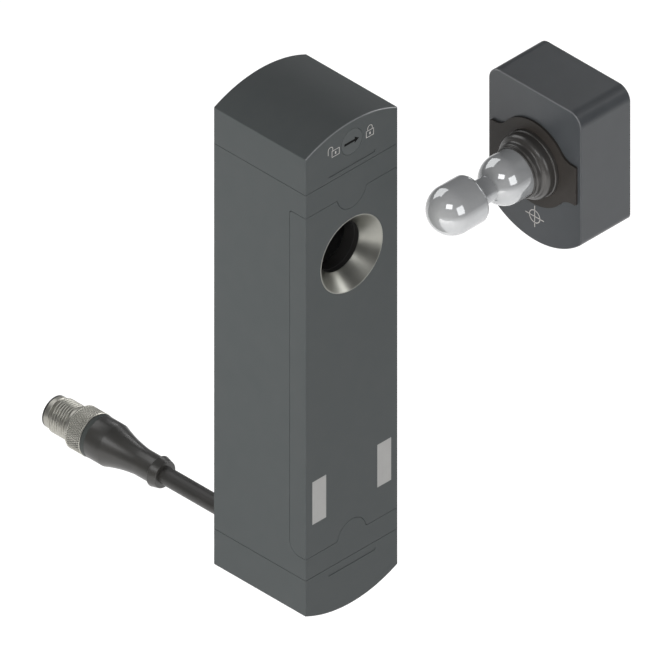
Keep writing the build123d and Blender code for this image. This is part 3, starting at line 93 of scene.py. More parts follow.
# %% A class for the shader's sums
class Flow:
    """The output of a node. Sums with it add the Math nodes that work them out."""

    def __init__(self, tree, socket=None):
        self.tree, self.socket = tree, socket

    def node(self, kind, settings=None, inputs=None, output=0):
        made = self.tree.nodes.new(kind)
        for name, value in (settings or {}).items():
            if name == "stops":
                ramp = made.color_ramp
                for place, _ in value[2:]:
                    ramp.elements.new(place)
                for stop, (place, shade) in zip(ramp.elements, value[:1] + value[2:] + value[1:2]):
                    stop.position, stop.color = place, (*shade, 1)
            else:
                setattr(made, name, value)
        for name, value in (inputs or {}).items():
            if isinstance(value, Flow):
                self.tree.links.new(value.socket, made.inputs[name])
            else:
                made.inputs[name].default_value = value
        return Flow(self.tree, made.outputs[output])

    def math(self, operation, first, second=0.0):
        return self.node("ShaderNodeMath", {"operation": operation}, {0: first, 1: second})

    def clamped(self, low=0.0, high=1.0):
        return self.math("MINIMUM", self.math("MAXIMUM", self, low), high)

    def __add__(self, other):
        return self.math("ADD", self, other)

    def __sub__(self, other):
        return self.math("SUBTRACT", self, other)

    def __rsub__(self, other):
        return self.math("SUBTRACT", other, self)

    def __mul__(self, other):
        return self.math("MULTIPLY", self, other)

    def __truediv__(self, other):
        return self.math("DIVIDE", self, other)

    __radd__, __rmul__ = __add__, __mul__


# %% [markdown]
# Every finish on this switch is one Principled shader with three things that change over the surface: a
# colour that wanders a little between a darker and a lighter tone, a roughness that does the same, and a fine
# relief. They are worked out from the object's own coordinates, in metres, so the grain has its real size on
# every piece, whatever its shape. The rounded top edges of a casing get a painted highlight, a paler colour in
# place of the light they catch, and a clear glossy coat. The surface's own direction tells where such an edge is:
# it looks up and forwards at once only there.

# %% The common recipe of a finish
FINISHES = {}
PATCH_CONTRAST, GRAIN_CONTRAST = 1.4, 0.35
# The paler edge colour below is a painted highlight, in place of the light a rounded top edge catches; the coat over
# it is a real gloss.
PAINTED_EDGE_HIGHLIGHT, EDGE_HIGHLIGHT_GAIN, EDGE_COAT_ROUGHNESS = (0.11, 0.115, 0.12, 1), 2.4, 0.16


def mottled(flow, place, size, detail=2.0, distortion=0.0):
    """A cloudy pattern from 0 to 1, whose patches are about size across."""
    return flow.node("ShaderNodeTexNoise", {}, {
        "Vector": place, "Scale": 1 / size, "Detail": detail, "Distortion": distortion})


def edge_highlight_and_coat_mask(flow, axis):
    """Where a part is rounded over between its top and the face that looks down an axis, from 0 to 1. The painted
    highlight and the gloss coat go there.
    """
    normal = flow.node("ShaderNodeTexCoord", output="Normal")
    side, up = (flow.node("ShaderNodeSeparateXYZ", {}, {0: normal}, output=part) for part in (axis, "Z"))
    return (side * up * -EDGE_HIGHLIGHT_GAIN).clamped()


def finish(name, dark, light, roughness, relief, metal=0.0, patch=6 * MM, sheen_level=0.5, highlight_edge_axis=None,
           coordinates=None, stretch=(1, 1, 1), pattern=None):
    """Makes a material. relief is (size, depth) of its grain, roughness (least, most), highlight_edge_axis an axis or
    None, for the painted edge highlight.
    """
    material = bpy.data.materials.new(name)
    material.use_nodes = True
    tree = material.node_tree
    shader = tree.nodes["Principled BSDF"]
    flow = Flow(tree)
    if coordinates is None:
        place = flow.node("ShaderNodeTexCoord", output="Object")
    else:
        place = flow.node("ShaderNodeAttribute", {"attribute_name": coordinates}, output="Vector")
    drawn_out = flow.node("ShaderNodeVectorMath", {"operation": "MULTIPLY"}, {0: place, 1: stretch})
    grain_size, grain_depth = relief
    patches = mottled(flow, place, patch, 3.0)
    grain = mottled(flow, drawn_out, grain_size, 2.0)
    height = grain
    tone = (patches - 0.5) * PATCH_CONTRAST + 0.5 + (grain - 0.5) * GRAIN_CONTRAST
    if pattern:
        tone, height = pattern(flow, place, tone, height)
    colour = flow.node("ShaderNodeMix", {"data_type": "RGBA"}, {
        "Factor": tone.clamped(), 6: (*dark, 1), 7: (*light, 1)}, output=2)
    # Painted highlight: the rounded top edges get a paler colour in place of the light they catch, under a glossy
    # coat.
    if highlight_edge_axis:
        highlight_edge = edge_highlight_and_coat_mask(flow, highlight_edge_axis)
        colour = flow.node("ShaderNodeMix", {"data_type": "RGBA"}, {
            "Factor": highlight_edge, 6: colour, 7: PAINTED_EDGE_HIGHLIGHT}, output=2)
        tree.links.new(highlight_edge.socket, shader.inputs["Coat Weight"])
        shader.inputs["Coat Roughness"].default_value = EDGE_COAT_ROUGHNESS
    least, most = roughness
    tree.links.new(colour.socket, shader.inputs["Base Color"])
    tree.links.new((least + (most - least) * ((patches + grain) * 0.5)).socket, shader.inputs["Roughness"])
    bump = flow.node("ShaderNodeBump", {}, {
        "Height": height, "Distance": grain_depth, "Strength": 1.0}, output="Normal")
    tree.links.new(bump.socket, shader.inputs["Normal"])
    shader.inputs["Metallic"].default_value = metal
    shader.inputs["Specular IOR Level"].default_value = sheen_level
    FINISHES[name] = material
    return material


# %% [markdown]
# The casings are moulded in a dark grey, glass-filled plastic. The steel of such a mould is spark-eroded, which
# leaves an even, matt grain of a few tenths of a millimetre. A high roughness and a very shallow bump give that
# look: seen from afar the faces are plain and satin, and close up they aren't flat. The tower's top edges towards
# its front, along Y, and the actuator's, whose mould is smoother, towards its own face, along X, carry a painted
# highlight: a paler colour in place of the light they catch, under a glossy coat. The front dial is moulded in the
# same plastic, its arrow in black, the plug's ring in a seal grey, and the liner and the boards' small parts in a
# blacker plastic.

# %% Moulded plastics
finish("casing", (0.035, 0.041, 0.042), (0.042, 0.047, 0.048), (0.52, 0.62), (0.22 * MM, 0.004 * MM), sheen_level=0.3,
       highlight_edge_axis="Y")
finish("actuator_casing", (0.032, 0.035, 0.039), (0.038, 0.042, 0.046), (0.30, 0.38), (0.22 * MM, 0.003 * MM),
       sheen_level=0.45, highlight_edge_axis="X")
finish("dial", (0.042, 0.048, 0.049), (0.049, 0.055, 0.056), (0.46, 0.56), (0.18 * MM, 0.003 * MM), sheen_level=0.3)
finish("arrow_black", (0.004, 0.004, 0.004), (0.006, 0.006, 0.006), (0.7, 0.8), (0.1 * MM, 0.003 * MM),
       sheen_level=0.05)
finish("seal_grey", (0.026, 0.030, 0.029), (0.032, 0.036, 0.035), (0.46, 0.56), (0.15 * MM, 0.003 * MM),
       sheen_level=0.3)
finish("black_plastic", (0.012, 0.012, 0.012), (0.019, 0.018, 0.018), (0.36, 0.5), (0.18 * MM, 0.004 * MM),
       sheen_level=0.4)


def frosted_lines(flow, place, tone, height):
    """Fine upright flutes that spread the lamp's light behind the window."""
    x = flow.node("ShaderNodeSeparateXYZ", {}, {0: place}, output="X")
    flute = flow.math("PINGPONG", x, 0.3 * MM) / (0.3 * MM)
    return tone + (flute - 0.5) * 0.15, height * 0.3 + flute


finish("window", (0.21, 0.21, 0.205), (0.25, 0.25, 0.245), (0.34, 0.42), (0.4 * MM, 0.01 * MM), sheen_level=0.5,
       pattern=frosted_lines)
print(len(FINISHES), "plastics")

# %% [markdown]
# Rubber is softer to the eye than plastic: its highlights are wide and dim. The bezel is matt, and the boot is a
# glossier moulding, whose rings only show because each carries a highlight. The cable has a smooth extruded sheath
# with streaks along it, and the plug's moulding shines enough to draw a soft band of light along its flare.

# %% Rubber and sheath
finish("black_rubber", (0.020, 0.018, 0.016), (0.026, 0.023, 0.021), (0.44, 0.54), (0.12 * MM, 0.004 * MM),
       sheen_level=0.25)
finish("boot_rubber", (0.025, 0.024, 0.023), (0.031, 0.029, 0.027), (0.26, 0.34), (0.12 * MM, 0.002 * MM),
       sheen_level=0.7)
finish("cable_sheath", (0.015, 0.015, 0.014), (0.021, 0.020, 0.019), (0.36, 0.48), (0.15 * MM, 0.004 * MM),
       stretch=(1, 0.06, 1), sheen_level=0.45)
finish("plug_moulding", (0.018, 0.018, 0.017), (0.025, 0.024, 0.022), (0.30, 0.38), (0.15 * MM, 0.002 * MM),
       sheen_level=0.6)

# %% [markdown]
# Turned metal carries rings as fine as a hair, which pull its highlights into streaks. A turned mesh here
# keeps a "turn" attribute on its points: how far along the profile the point lies, and its place around it. A
# noise that is stretched around and squeezed along draws the rings. The tongue is polished after turning, so
# its rings are almost gone and it mirrors the lamps. A full mirror would show as black and white only. A real
# one is slightly hazy, and a metal share below one gives it that grey body under the mirror.

# %% Metals
finish("satin_steel", (0.250, 0.250, 0.226), (0.285, 0.285, 0.262), (0.30, 0.38), (0.10 * MM, 0.0003 * MM), metal=1.0,
       coordinates="turn", stretch=(1, 0.004, 0.004))
finish("polished_steel", (0.38, 0.39, 0.40), (0.42, 0.43, 0.435), (0.04, 0.07), (0.5 * MM, 0.0003 * MM), metal=0.44,
       coordinates="turn", stretch=(1, 0.02, 0.02), sheen_level=1.0)
finish("nickel", (0.37, 0.365, 0.33), (0.45, 0.44, 0.40), (0.38, 0.46), (0.12 * MM, 0.0005 * MM), metal=1.0,
       coordinates="turn", stretch=(1, 0.01, 0.01))
finish("steel_sheet", (0.42, 0.42, 0.42), (0.52, 0.52, 0.52), (0.30, 0.42), (0.25 * MM, 0.003 * MM), metal=1.0,
       stretch=(1, 1, 0.05))
finish("steel_screw", (0.42, 0.43, 0.45), (0.52, 0.53, 0.55), (0.24, 0.36), (0.2 * MM, 0.002 * MM), metal=1.0)
finish("gold_contact", (0.62, 0.44, 0.17), (0.74, 0.54, 0.22), (0.16, 0.26), (0.15 * MM, 0.001 * MM), metal=1.0)


def wound_wire(flow, place, tone, height):
    """The turns of enamelled wire on the solenoid, one beside the other."""
    z = flow.node("ShaderNodeSeparateXYZ", {}, {0: place}, output="Z")
    turn = flow.math("PINGPONG", z, 0.16 * MM) / (0.16 * MM)
    return tone * 0.6 + turn * 0.5, turn


finish("copper", (0.30, 0.11, 0.045), (0.55, 0.24, 0.10), (0.26, 0.36), (0.2 * MM, 0.03 * MM), metal=0.9,
       pattern=wound_wire)


def tracks(flow, place, tone, height):
    """Copper tracks that show lighter through the green solder resist."""
    wires = flow.node("ShaderNodeTexBrick", {"offset": 0.35, "squash": 1.6}, {
        "Vector": flow.node("ShaderNodeVectorRotate", {"rotation_type": "X_AXIS"}, {"Vector": place, "Angle": pi / 2}),
        "Scale": 1 / (9 * MM), "Mortar Size": 0.03}, output="Fac")
    return tone * 0.5 + wires * 0.5, wires


finish("board", (0.006, 0.045, 0.018), (0.02, 0.11, 0.05), (0.22, 0.32), (0.3 * MM, 0.02 * MM), pattern=tracks)
print(len(FINISHES), "finishes in all")

# %% [markdown]
# The slots of the CAD model's record say which finish each of its nodes has. A CAD node has the right shape,
# so it only gets the material. The arrow in the dial is a slot with a black floor, which its depth makes dark.

# %% Finishes on the CAD nodes
slot_of = {}
for subpart in frame["record"]["subparts"]:
    slot_of[subpart["node"]] = subpart["material_slot"]
for name, node in frame["nodes"].items():
    node.data.materials.clear()
    node.data.materials.append(FINISHES[slot_of[name]])
print(len(slot_of), "nodes painted")

# %% [markdown]
# Half of the pieces left are turned on a lathe, or moulded in a turned mould: the tongue, the socket's steel mouth,
# the plug, the coupling nut and the rubber boot. A lathe only needs half of the piece's outline. So the outline
# is written as a few corners, each with the radius that rounds it, and a helper spins it into a closed skin of
# quads. Real edges are never sharp, and it is these small roundings that catch the light.

# %% Outlines with rounded corners
def arc(centre, radius, start, end, steps):
    """Points of a round stretch of an outline, around a centre on the axis. Angles count from the axis."""
    return [(radius * sin(a), centre + radius * cos(a))
            for a in (start + (end - start) * i / steps for i in range(steps + 1))]


def rounded(corners, closed=False, steps=5):
    """An outline of (radius, length) points from corners that may carry a third number, their rounding."""
    points = []
    count = len(corners)
    for i, corner in enumerate(corners):
        here = Vector(corner[:2])
        rounding = corner[2] if len(corner) > 2 else 0
        if not rounding or (not closed and i in (0, count - 1)):
            points.append(tuple(here))
            continue
        before = (Vector(corners[i - 1][:2]) - here).normalized()
        after = (Vector(corners[(i + 1) % count][:2]) - here).normalized()
        half = before.angle(after) / 2
        centre = here + (before + after).normalized() * (rounding / sin(half))
        first, last = before * (rounding / sin(half) * cos(half)), after * (rounding / sin(half) * cos(half))
        for step in range(steps + 1):
            chord = (first.lerp(last, step / steps) + here - centre).normalized()
            points.append(tuple(centre + chord * rounding))
    return points


def divided(points, low, high, step):
    """The same outline with rows every step between two lengths, for a relief that needs them."""
    fine = [points[0]]
    for (r0, z0), (r1, z1) in zip(points, points[1:]):
        inside = min(z0, z1) > low - 1e-9 and max(z0, z1) < high + 1e-9
        rows = max(1, round(abs(z1 - z0) / step)) if inside else 1
        fine += [(r0 + (r1 - r0) * i / rows, z0 + (z1 - z0) * i / rows) for i in range(1, rows + 1)]
    return fine


# %% [markdown]
# The skin itself is made with bmesh: one ring of points for each point of the outline, and one point where the
# outline meets the axis, so that the pole is closed. Each point also keeps the "turn" attribute that the metals
# read: how far along the outline it lies, and its place around the axis.

# %% The lathe
COLUMNS = 160


def turned(name, outline, closed=False, columns=COLUMNS):
    """A closed mesh of revolution about z, in millimetres, from an outline of (radius, z) points."""
    shape = bmesh.new()
    turn = shape.verts.layers.float_vector.new("turn")
    rings, along = [], 0.0
    for i, (radius, z) in enumerate(outline):
        along += (Vector((radius, z)) - Vector(outline[i - 1])).length if i else 0
        ring = []
        for column in range(1 if radius < 1e-6 else columns):
            angle = tau * column / columns
            vert = shape.verts.new((radius * cos(angle), radius * sin(angle), z))
            vert[turn] = Vector((along, vert.co.x, vert.co.y)) * MM
            ring.append(vert)
        rings.append(ring)
    pairs = list(zip(rings, rings[1:])) + ([(rings[-1], rings[0])] if closed else [])
    for low, high in pairs:
        for column in range(columns):
            nxt = (column + 1) % columns
            corners = [low[column % len(low)], low[nxt % len(low)], high[nxt % len(high)], high[column % len(high)]]
            face = list(dict.fromkeys(corners))
            if len(face) > 2:
                shape.faces.new(face)
    bmesh.ops.recalc_face_normals(shape, faces=shape.faces)
    mesh = bpy.data.meshes.new(name)
    shape.to_mesh(mesh)
    shape.free()
    return mesh


def placed(name, mesh, place, body, slot, replaced=(), material=None, sharp=32):
    """Puts a mesh made in millimetres where it belongs, gives it its finish, hangs it on its body and hides the CAD
    nodes that it replaces.
    """
    mesh.transform(place @ Matrix.Scale(MM, 4))
    if place.determinant() < 0:
        mesh.flip_normals()
    mesh.materials.clear()
    mesh.materials.append(FINISHES[material or slot])
    mesh.polygons.foreach_set("use_smooth", [True] * len(mesh.polygons))
    mesh.set_sharp_from_angle(angle=radians(sharp))
    piece = bpy.data.objects.new(name, mesh)
    bpy.context.scene.collection.objects.link(piece)
    if body:
        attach(piece, body)
    if replaced:
        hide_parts(*replaced)
    print(name, len(mesh.polygons), "faces")
    return piece


def frame_of(origin, x_axis, z_axis):
    """A place in the row's frame from an origin in millimetres and two of its axes."""
    x, z = Vector(x_axis), Vector(z_axis)
    turn = Matrix((x, z.cross(x), z)).transposed().to_4x4()
    return Matrix.Translation(Vector(origin) * MM) @ turn


TOWER_FRONT, SOCKET_HEIGHT, CABLE_HEIGHT, CABLE_REACH = -40, 40.65, -83.0, 40.9
ON_ACTUATOR = frame_of((74.4, -45, SOCKET_HEIGHT), (0, -1, 0), (-1, 0, 0))
ON_SOCKET = frame_of((0, TOWER_FRONT, SOCKET_HEIGHT), (1, 0, 0), (0, 1, 0))
ON_PLUG = frame_of((0, CABLE_REACH, CABLE_HEIGHT), (1, 0, 0), (0, 1, 0))
ON_FRONT = frame_of((0, TOWER_FRONT, 0), (1, 0, 0), (0, -1, 0))

# %% [markdown]
# The tongue is turned from stainless steel and polished to a mirror. From its tip it is a ball, a cylinder, a
# shoulder, a thin waist where the locking plate takes hold, a second ball, and the shank that swivels inside the
# actuator. Every small step of the mesh would show in a mirror, so its arcs have many rows and it has many
# columns. A boolean cut drills the hole for the cross pin, as on the real shank.

# %% Tongue
TIP_CENTRE, TIP_RADIUS = 35.9, 8.2
BULB_CENTRE, BULB_RADIUS, WAIST = 13.2, 8.25, 4.2
PIN_PLACE, PIN_HOLE, PIN_REACH = -8, 1.55, 9
waist_angle = asin(WAIST / BULB_RADIUS)
tongue_outline = rounded([
    (0, -12), (5, -12, 0.5), (5, 5, 0.3), (BULB_RADIUS, 5, 0.5), (BULB_RADIUS, BULB_CENTRE)])
tongue_outline += arc(BULB_CENTRE, BULB_RADIUS, radians(90), waist_angle, 30)[1:]
tongue_outline += rounded([
    (WAIST, BULB_CENTRE + BULB_RADIUS * cos(waist_angle)), (WAIST, 27.2, 0.6), (TIP_RADIUS, 27.2, 1.5),
    (TIP_RADIUS, TIP_CENTRE)], steps=8)[1:]
tongue_outline += arc(TIP_CENTRE, TIP_RADIUS, radians(90), 0, 36)[1:]
tongue_outline[-1] = (0, TIP_CENTRE + TIP_RADIUS)


def drilled(mesh, name, radius, reach, place):
    """Cuts a round hole across a mesh."""
    drill = turned(name + "_drill", [(0, -reach), (radius, -reach), (radius, reach), (0, reach)], columns=48)
    drill.transform(place)
    cutter = bpy.data.objects.new(name + "_drill", drill)
    blank = bpy.data.objects.new(name + "_blank", mesh)
    for made in (cutter, blank):
        bpy.context.scene.collection.objects.link(made)
    cut = blank.modifiers.new("hole", "BOOLEAN")
    cut.operation, cut.solver, cut.object = "DIFFERENCE", "EXACT", cutter
    result = bpy.data.meshes.new_from_object(blank.evaluated_get(bpy.context.evaluated_depsgraph_get()))
    for made in (cutter, blank):
        bpy.data.objects.remove(made)
    return result


across = Matrix.Translation((0, 0, PIN_PLACE)) @ Matrix.Rotation(pi / 2, 4, "X")
tongue_mesh = drilled(turned("tongue_steel", tongue_outline, columns=192), "yaw", PIN_HOLE, PIN_REACH, across)
placed("tongue_steel", tongue_mesh, ON_ACTUATOR, "tongue_body", "polished_steel", ["tongue"])

# %% [markdown]
# The mouth of the socket is a turned steel cone that leads the tongue in. It shows a thin bright rim around the
# cone, because the rim faces the light. The fine rings of the tool stay visible in the cone and pull the
# lamp's reflection into broad bands. It is a ring, so its outline is a closed loop.

# %% Socket mouth
placed("socket_mouth_steel", turned("socket_mouth_steel", rounded([
    (13.25, 0, 0.08), (13.55, 0, 0.1), (13.55, 3), (15, 3), (15, 4.2), (11.43, 4.2), (10.23, 6), (8.73, 6, 0.15)],
    closed=True), closed=True), ON_SOCKET, "tower", "satin_steel", ["socket_funnel"])

# %% [markdown]
# The boot is a thin moulding that seals the tongue against coolant and lets it tilt a few degrees. It is a drum
# on the actuator, a smaller stage and a lip that grips the bulb. The tongue hangs on two crossed pivots. The
# boot is made in two pieces that meet edge to edge: the lower one reaches from the actuator to the swivel ring,
# and the upper one from the swivel ring to the tongue. Both are fixed where they are made, on no body.

# %% Boot
BOOT_SPLIT = 2.4
boot_foot = turned("boot_foot", rounded([
    (10.2, -1.2), (13, -1.2), (13, -0.05), (11.3, -0.05), (11.3, 2.0, 0.45), (11.02, 2.15, 0.12), (11.02, BOOT_SPLIT),
    (10.2, BOOT_SPLIT)], closed=True), closed=True)
boot_head = turned("boot_head", rounded([
    (11.02, BOOT_SPLIT), (10.98, 5.2, 1.8), (9.3, 5.75, 0.9), (9.15, 7.6, 0.5), (8.75, 7.8, 0.2), (8.72, 8.6, 0.15),
    (8.3, 8.6, 0.15), (8.3, 3.1, 0.2), (10.2, 3.1, 0.4), (10.2, BOOT_SPLIT)], closed=True, steps=10), closed=True)


for name, mesh, lower, upper, start, end in (
        ("boot_foot", boot_foot, "actuator", "swivel", 0.8, BOOT_SPLIT),
        ("boot_head", boot_head, "swivel", "tongue_body", BOOT_SPLIT, 4.2)):
    boot = placed(name, mesh, ON_ACTUATOR, None, "black_rubber", ["rubber_boot"], material="boot_rubber", sharp=40)
    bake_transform(boot)

# %% [markdown]
# The plug is moulded around the cable: a slightly conical ring to pull on, a neck, a flare like a bell's and a
# barrel that carries the coupling nut. The flare is an arc through three points, so its centre is worked out from
# them. A grey sealing ring sits at the barrel's end, next to the nut, and doesn't turn with it.

# %% Plug moulding
FLARE_START, FLARE_END = (4.48, 10.1), (7.18, 22.4)


def arc_through(first, middle, last, steps):
    """Points of the arc through three points of an outline."""
    (ax, ay), (bx, by), (cx, cy) = first, middle, last
    d = 2 * (ax * (by - cy) + bx * (cy - ay) + cx * (ay - by))
    squares = [x * x + y * y for x, y in (first, middle, last)]
    ux = (squares[0] * (by - cy) + squares[1] * (cy - ay) + squares[2] * (ay - by)) / d
    uy = (squares[0] * (cx - bx) + squares[1] * (ax - cx) + squares[2] * (bx - ax)) / d
    radius = sqrt((ax - ux) ** 2 + (ay - uy) ** 2)
    start, end = atan2(ay - uy, ax - ux), atan2(cy - uy, cx - ux)
    if abs(end - start) > pi:
        end += tau if end < start else -tau
    return [(ux + radius * cos(a), uy + radius * sin(a))
            for a in (start + (end - start) * i / steps for i in range(steps + 1))]


plug_outline = rounded([
    (0, 0), (4.5, 0, 0.4), (5.27, 3.15, 0.25), (4.48, 3.2, 0.15), FLARE_START])
plug_outline += arc_through(FLARE_START, (5.425, 16.25), FLARE_END, 24)[1:]
plug_outline += rounded([FLARE_END, (7.18, 29.8, 0.2), (0, 29.8)])[1:]
placed("plug_moulding", turned("plug_moulding", plug_outline), ON_PLUG, "tower", "plug_moulding", ["plug_body"])
grey_ring = turned("plug_ring", rounded([
    (6.9, 28.4), (7.22, 28.4, 0.04), (7.3, 29.95, 0.1), (6.9, 30.0)], closed=True), closed=True)
placed("plug_ring", grey_ring, ON_PLUG, "tower", "plug_moulding", material="seal_grey")

# %% [markdown]
# The coupling nut carries two patterns that repeat, a knurl of crossed grooves to grip it by, and the M12 thread
# with its pitch of 1 mm. They could be cut one by one, but both are only a rule for how deep the skin lies at a
# point: the knurl depends on the angle plus and minus the length, and the thread on the length minus a share of
# the angle. So a Geometry Nodes tree works that rule out on a smooth turned blank and moves its points inwards.
# Its inputs are the sizes of both patterns, and the blank has enough rows and columns for eight steps a ridge.

# %% The knurl and the thread as a node tree
KNURLS = 58
NUT = {
    "Knurl Start": 30.35, "Knurl End": 36.1, "Knurl Count": float(KNURLS), "Knurl Lead": 1.5, "Knurl Depth": 0.34,
    "Thread Start": 37.9, "Thread End": 46.5, "Thread Pitch": 1.0, "Thread Depth": 0.45, "Skin Radius": 5.4}


def nut_relief_tree(material):
    """Moves the points of a turned blank inwards, along a knurl and a thread."""
    tree = bpy.data.node_groups.new("nut_relief", "GeometryNodeTree")
    tree.is_modifier = True
    tree.interface.new_socket("Geometry", in_out="INPUT", socket_type="NodeSocketGeometry")
    tree.interface.new_socket("Geometry", in_out="OUTPUT", socket_type="NodeSocketGeometry")
    for name, value in NUT.items():
        tree.interface.new_socket(name, in_out="INPUT", socket_type="NodeSocketFloat").default_value = value
    inlet = tree.nodes.new("NodeGroupInput")
    size = {name: Flow(tree, inlet.outputs[name]) for name in NUT}
    flow = Flow(tree)
    place = flow.node("GeometryNodeInputPosition")
    x, y, z = (flow.node("ShaderNodeSeparateXYZ", {}, {0: place}, output=axis) for axis in "XYZ")
    share = flow.math("ARCTAN2", y, x) / tau
    radius = flow.math("SQRT", x * x + y * y)

    def wave(phase):
        """A ridge for every whole number, from 0 in the groove to 1 at the crest."""
        return flow.math("PINGPONG", phase, 0.5) * 2.0

    def between(start, end, fade):
        return ((z - start) / fade).clamped() * ((end - z) / fade).clamped()

    around = share * size["Knurl Count"]
    ridges = flow.math("MINIMUM", wave(around + z / size["Knurl Lead"]), wave(around - z / size["Knurl Lead"]))
    knurl = (1 - ridges) * between(size["Knurl Start"], size["Knurl End"], 0.25) * size["Knurl Depth"]
    flanks = (wave(z / size["Thread Pitch"] - share) * 1.9 - 0.1).clamped()
    thread = (1 - flanks) * between(size["Thread Start"], size["Thread End"], 0.3) * size["Thread Depth"]
    outside = flow.math("GREATER_THAN", radius, size["Skin Radius"])
    depth = (knurl + thread) * outside / radius
    inwards = flow.node("ShaderNodeCombineXYZ", {}, {"X": x * depth * -1.0, "Y": y * depth * -1.0})
    blank = Flow(tree, inlet.outputs["Geometry"])
    moved = flow.node("GeometryNodeSetPosition", {}, {"Geometry": blank, "Offset": inwards})
    real = flow.node("GeometryNodeRealizeInstances", {}, {"Geometry": moved})
    painted = flow.node("GeometryNodeSetMaterial", {}, {"Geometry": real, "Material": material})
    outlet = tree.nodes.new("NodeGroupOutput")
    tree.links.new(painted.socket, outlet.inputs["Geometry"])
    return tree


def through_nodes(name, mesh, tree, values):
    """Runs a mesh through a node tree and returns the plain mesh that comes out."""
    blank = bpy.data.objects.new(name + "_blank", mesh)
    bpy.context.scene.collection.objects.link(blank)
    nodes = blank.modifiers.new("relief", "NODES")
    nodes.node_group = tree
    for item in tree.interface.items_tree:
        if item.item_type == "SOCKET" and item.in_out == "INPUT" and item.name in values:
            nodes[item.identifier] = values[item.name]
    result = bpy.data.meshes.new_from_object(blank.evaluated_get(bpy.context.evaluated_depsgraph_get()))
    bpy.data.objects.remove(blank)
    return result


nut_outline = rounded([
    (4.85, 30.1), (7.25, 30.1, 0.1), (7.45, 30.3, 0.1), (7.45, 36.2, 0.5), (6.2, 37.2, 0.2), (6.0, 37.6),
    (6.0, 44.95, 0.1), (5.45, 45.1, 0.1), (5.45, 47.6, 0.08), (4.85, 47.6), (4.85, 34.1), (5.35, 34.1), (5.35, 32.3),
    (4.85, 32.3)], closed=True, steps=3)
nut_blank = turned("nut_blank", divided(nut_outline, 30.2, 47.6, 0.12), closed=True, columns=8 * KNURLS)
nut_tree = nut_relief_tree(FINISHES["nickel"])
nut_mesh = through_nodes("coupling_nut", nut_blank, nut_tree, NUT)
placed("knurled_nut", nut_mesh, ON_PLUG, "coupling", "nickel", ["coupling_nut"], sharp=60)

# %% [markdown]
# The cable is a free cord, though a short and stiff one: it runs straight from the tower's rear to the plug, as
# in the picture, which shows its whole length. A cable is best made as a curve with a round bevel. Its spline is
# a NURBS of order 3, and its order is set after its points, because before that it can't be higher than 2.

# %% Cable
CABLE_EXIT = Vector((0, 0, CABLE_HEIGHT)) * MM
CABLE_LENGTH, CABLE_DIAMETER = CABLE_REACH * MM, 5.9 * MM
cable_curve = bpy.data.curves.new("sensor_cable", "CURVE")
cable_curve.dimensions = "3D"
spline = cable_curve.splines.new("NURBS")
route = [CABLE_EXIT, CABLE_EXIT + Vector((0, CABLE_LENGTH / 2, 0)), CABLE_EXIT + Vector((0, CABLE_LENGTH, 0))]
spline.points.add(len(route) - 1)
for point, spot in zip(spline.points, route):
    point.co = (*spot, 1)
spline.order_u = 3
spline.use_endpoint_u = True
spline.resolution_u = 12
cable_curve.bevel_depth = CABLE_DIAMETER / 2
cable_curve.bevel_resolution = 12
cable_curve.use_fill_caps = True
cable_curve.materials.append(FINISHES["cable_sheath"])
cable = bpy.data.objects.new("sensor_cable", cable_curve)
bpy.context.scene.collection.objects.link(cable)
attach(cable, "tower")
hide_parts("cable")
print("cable", round(CABLE_LENGTH / MM, 1), "mm long")

# %% [markdown]
# The marks are printed: an open and a closed padlock beside the dial, which say what its two ends do, and a
# crosshair on the actuator over its hidden code chip. Ink has almost no thickness, but a picture or a decal that
# floats looks wrong from the side. So each line is a real, very thin ribbon of ink that sits on its face.

# %% Ink
finish("ink", (0.30, 0.29, 0.28), (0.40, 0.39, 0.38), (0.5, 0.6), (0.1 * MM, 0.001 * MM), sheen_level=0.3)
INK_THICKNESS, INK_SUNK = 0.02, 0.01


def ribbon(shape, points, width, closed):
    """Adds a flat ink line along 2-D points, in millimetres, to a bmesh."""
    spots = [Vector(p) for p in points]
    count = len(spots)
    sides = []
    for i, spot in enumerate(spots):
        before = spots[i - 1] if closed or i else spot
        after = spots[(i + 1) % count] if closed or i < count - 1 else spot
        normals = [Vector((-d.y, d.x)).normalized() for d in (spot - before, after - spot) if d.length > 1e-9]
        mitre = sum(normals, Vector((0, 0))).normalized()
        reach = width / 2 / max(0.4, mitre.dot(normals[0]))
        sides.append((spot + mitre * reach, spot - mitre * reach))
    rows = [[shape.verts.new((*side, z)) for side in pair for z in (-INK_SUNK, INK_THICKNESS)] for pair in sides]
    for i in range(count if closed else count - 1):
        a, b = rows[i], rows[(i + 1) % count]
        for corners in ((0, 1), (1, 3), (3, 2), (2, 0)):
            shape.faces.new([a[corners[0]], a[corners[1]], b[corners[1]], b[corners[0]]])
    if not closed:
        for row in (rows[0], rows[-1]):
            shape.faces.new([row[0], row[1], row[3], row[2]])


def circle(centre, radius, start=0.0, end=tau, steps=40):
    return [(centre[0] + radius * cos(a), centre[1] + radius * sin(a))
            for a in (start + (end - start) * i / steps for i in range(steps + (end - start < tau - 1e-6)))]


def inked(name, lines, place, body):
    """A printed mark from (points, width, closed) lines."""
    shape = bmesh.new()
    for points, width, closed in lines:
        ribbon(shape, points, width, closed)
    bmesh.ops.recalc_face_normals(shape, faces=shape.faces)
    mesh = bpy.data.meshes.new(name)
    shape.to_mesh(mesh)
    shape.free()
    return placed(name, mesh, place, body, "window", material="ink")


# %% Padlocks and crosshair
LOCK_WIDTH, LOCK_HEIGHT, LOCK_LINE = 3.15, 2.3, 0.2
BOW, BOW_RISE, KEYHOLE = 1.0, 0.8, 0.45


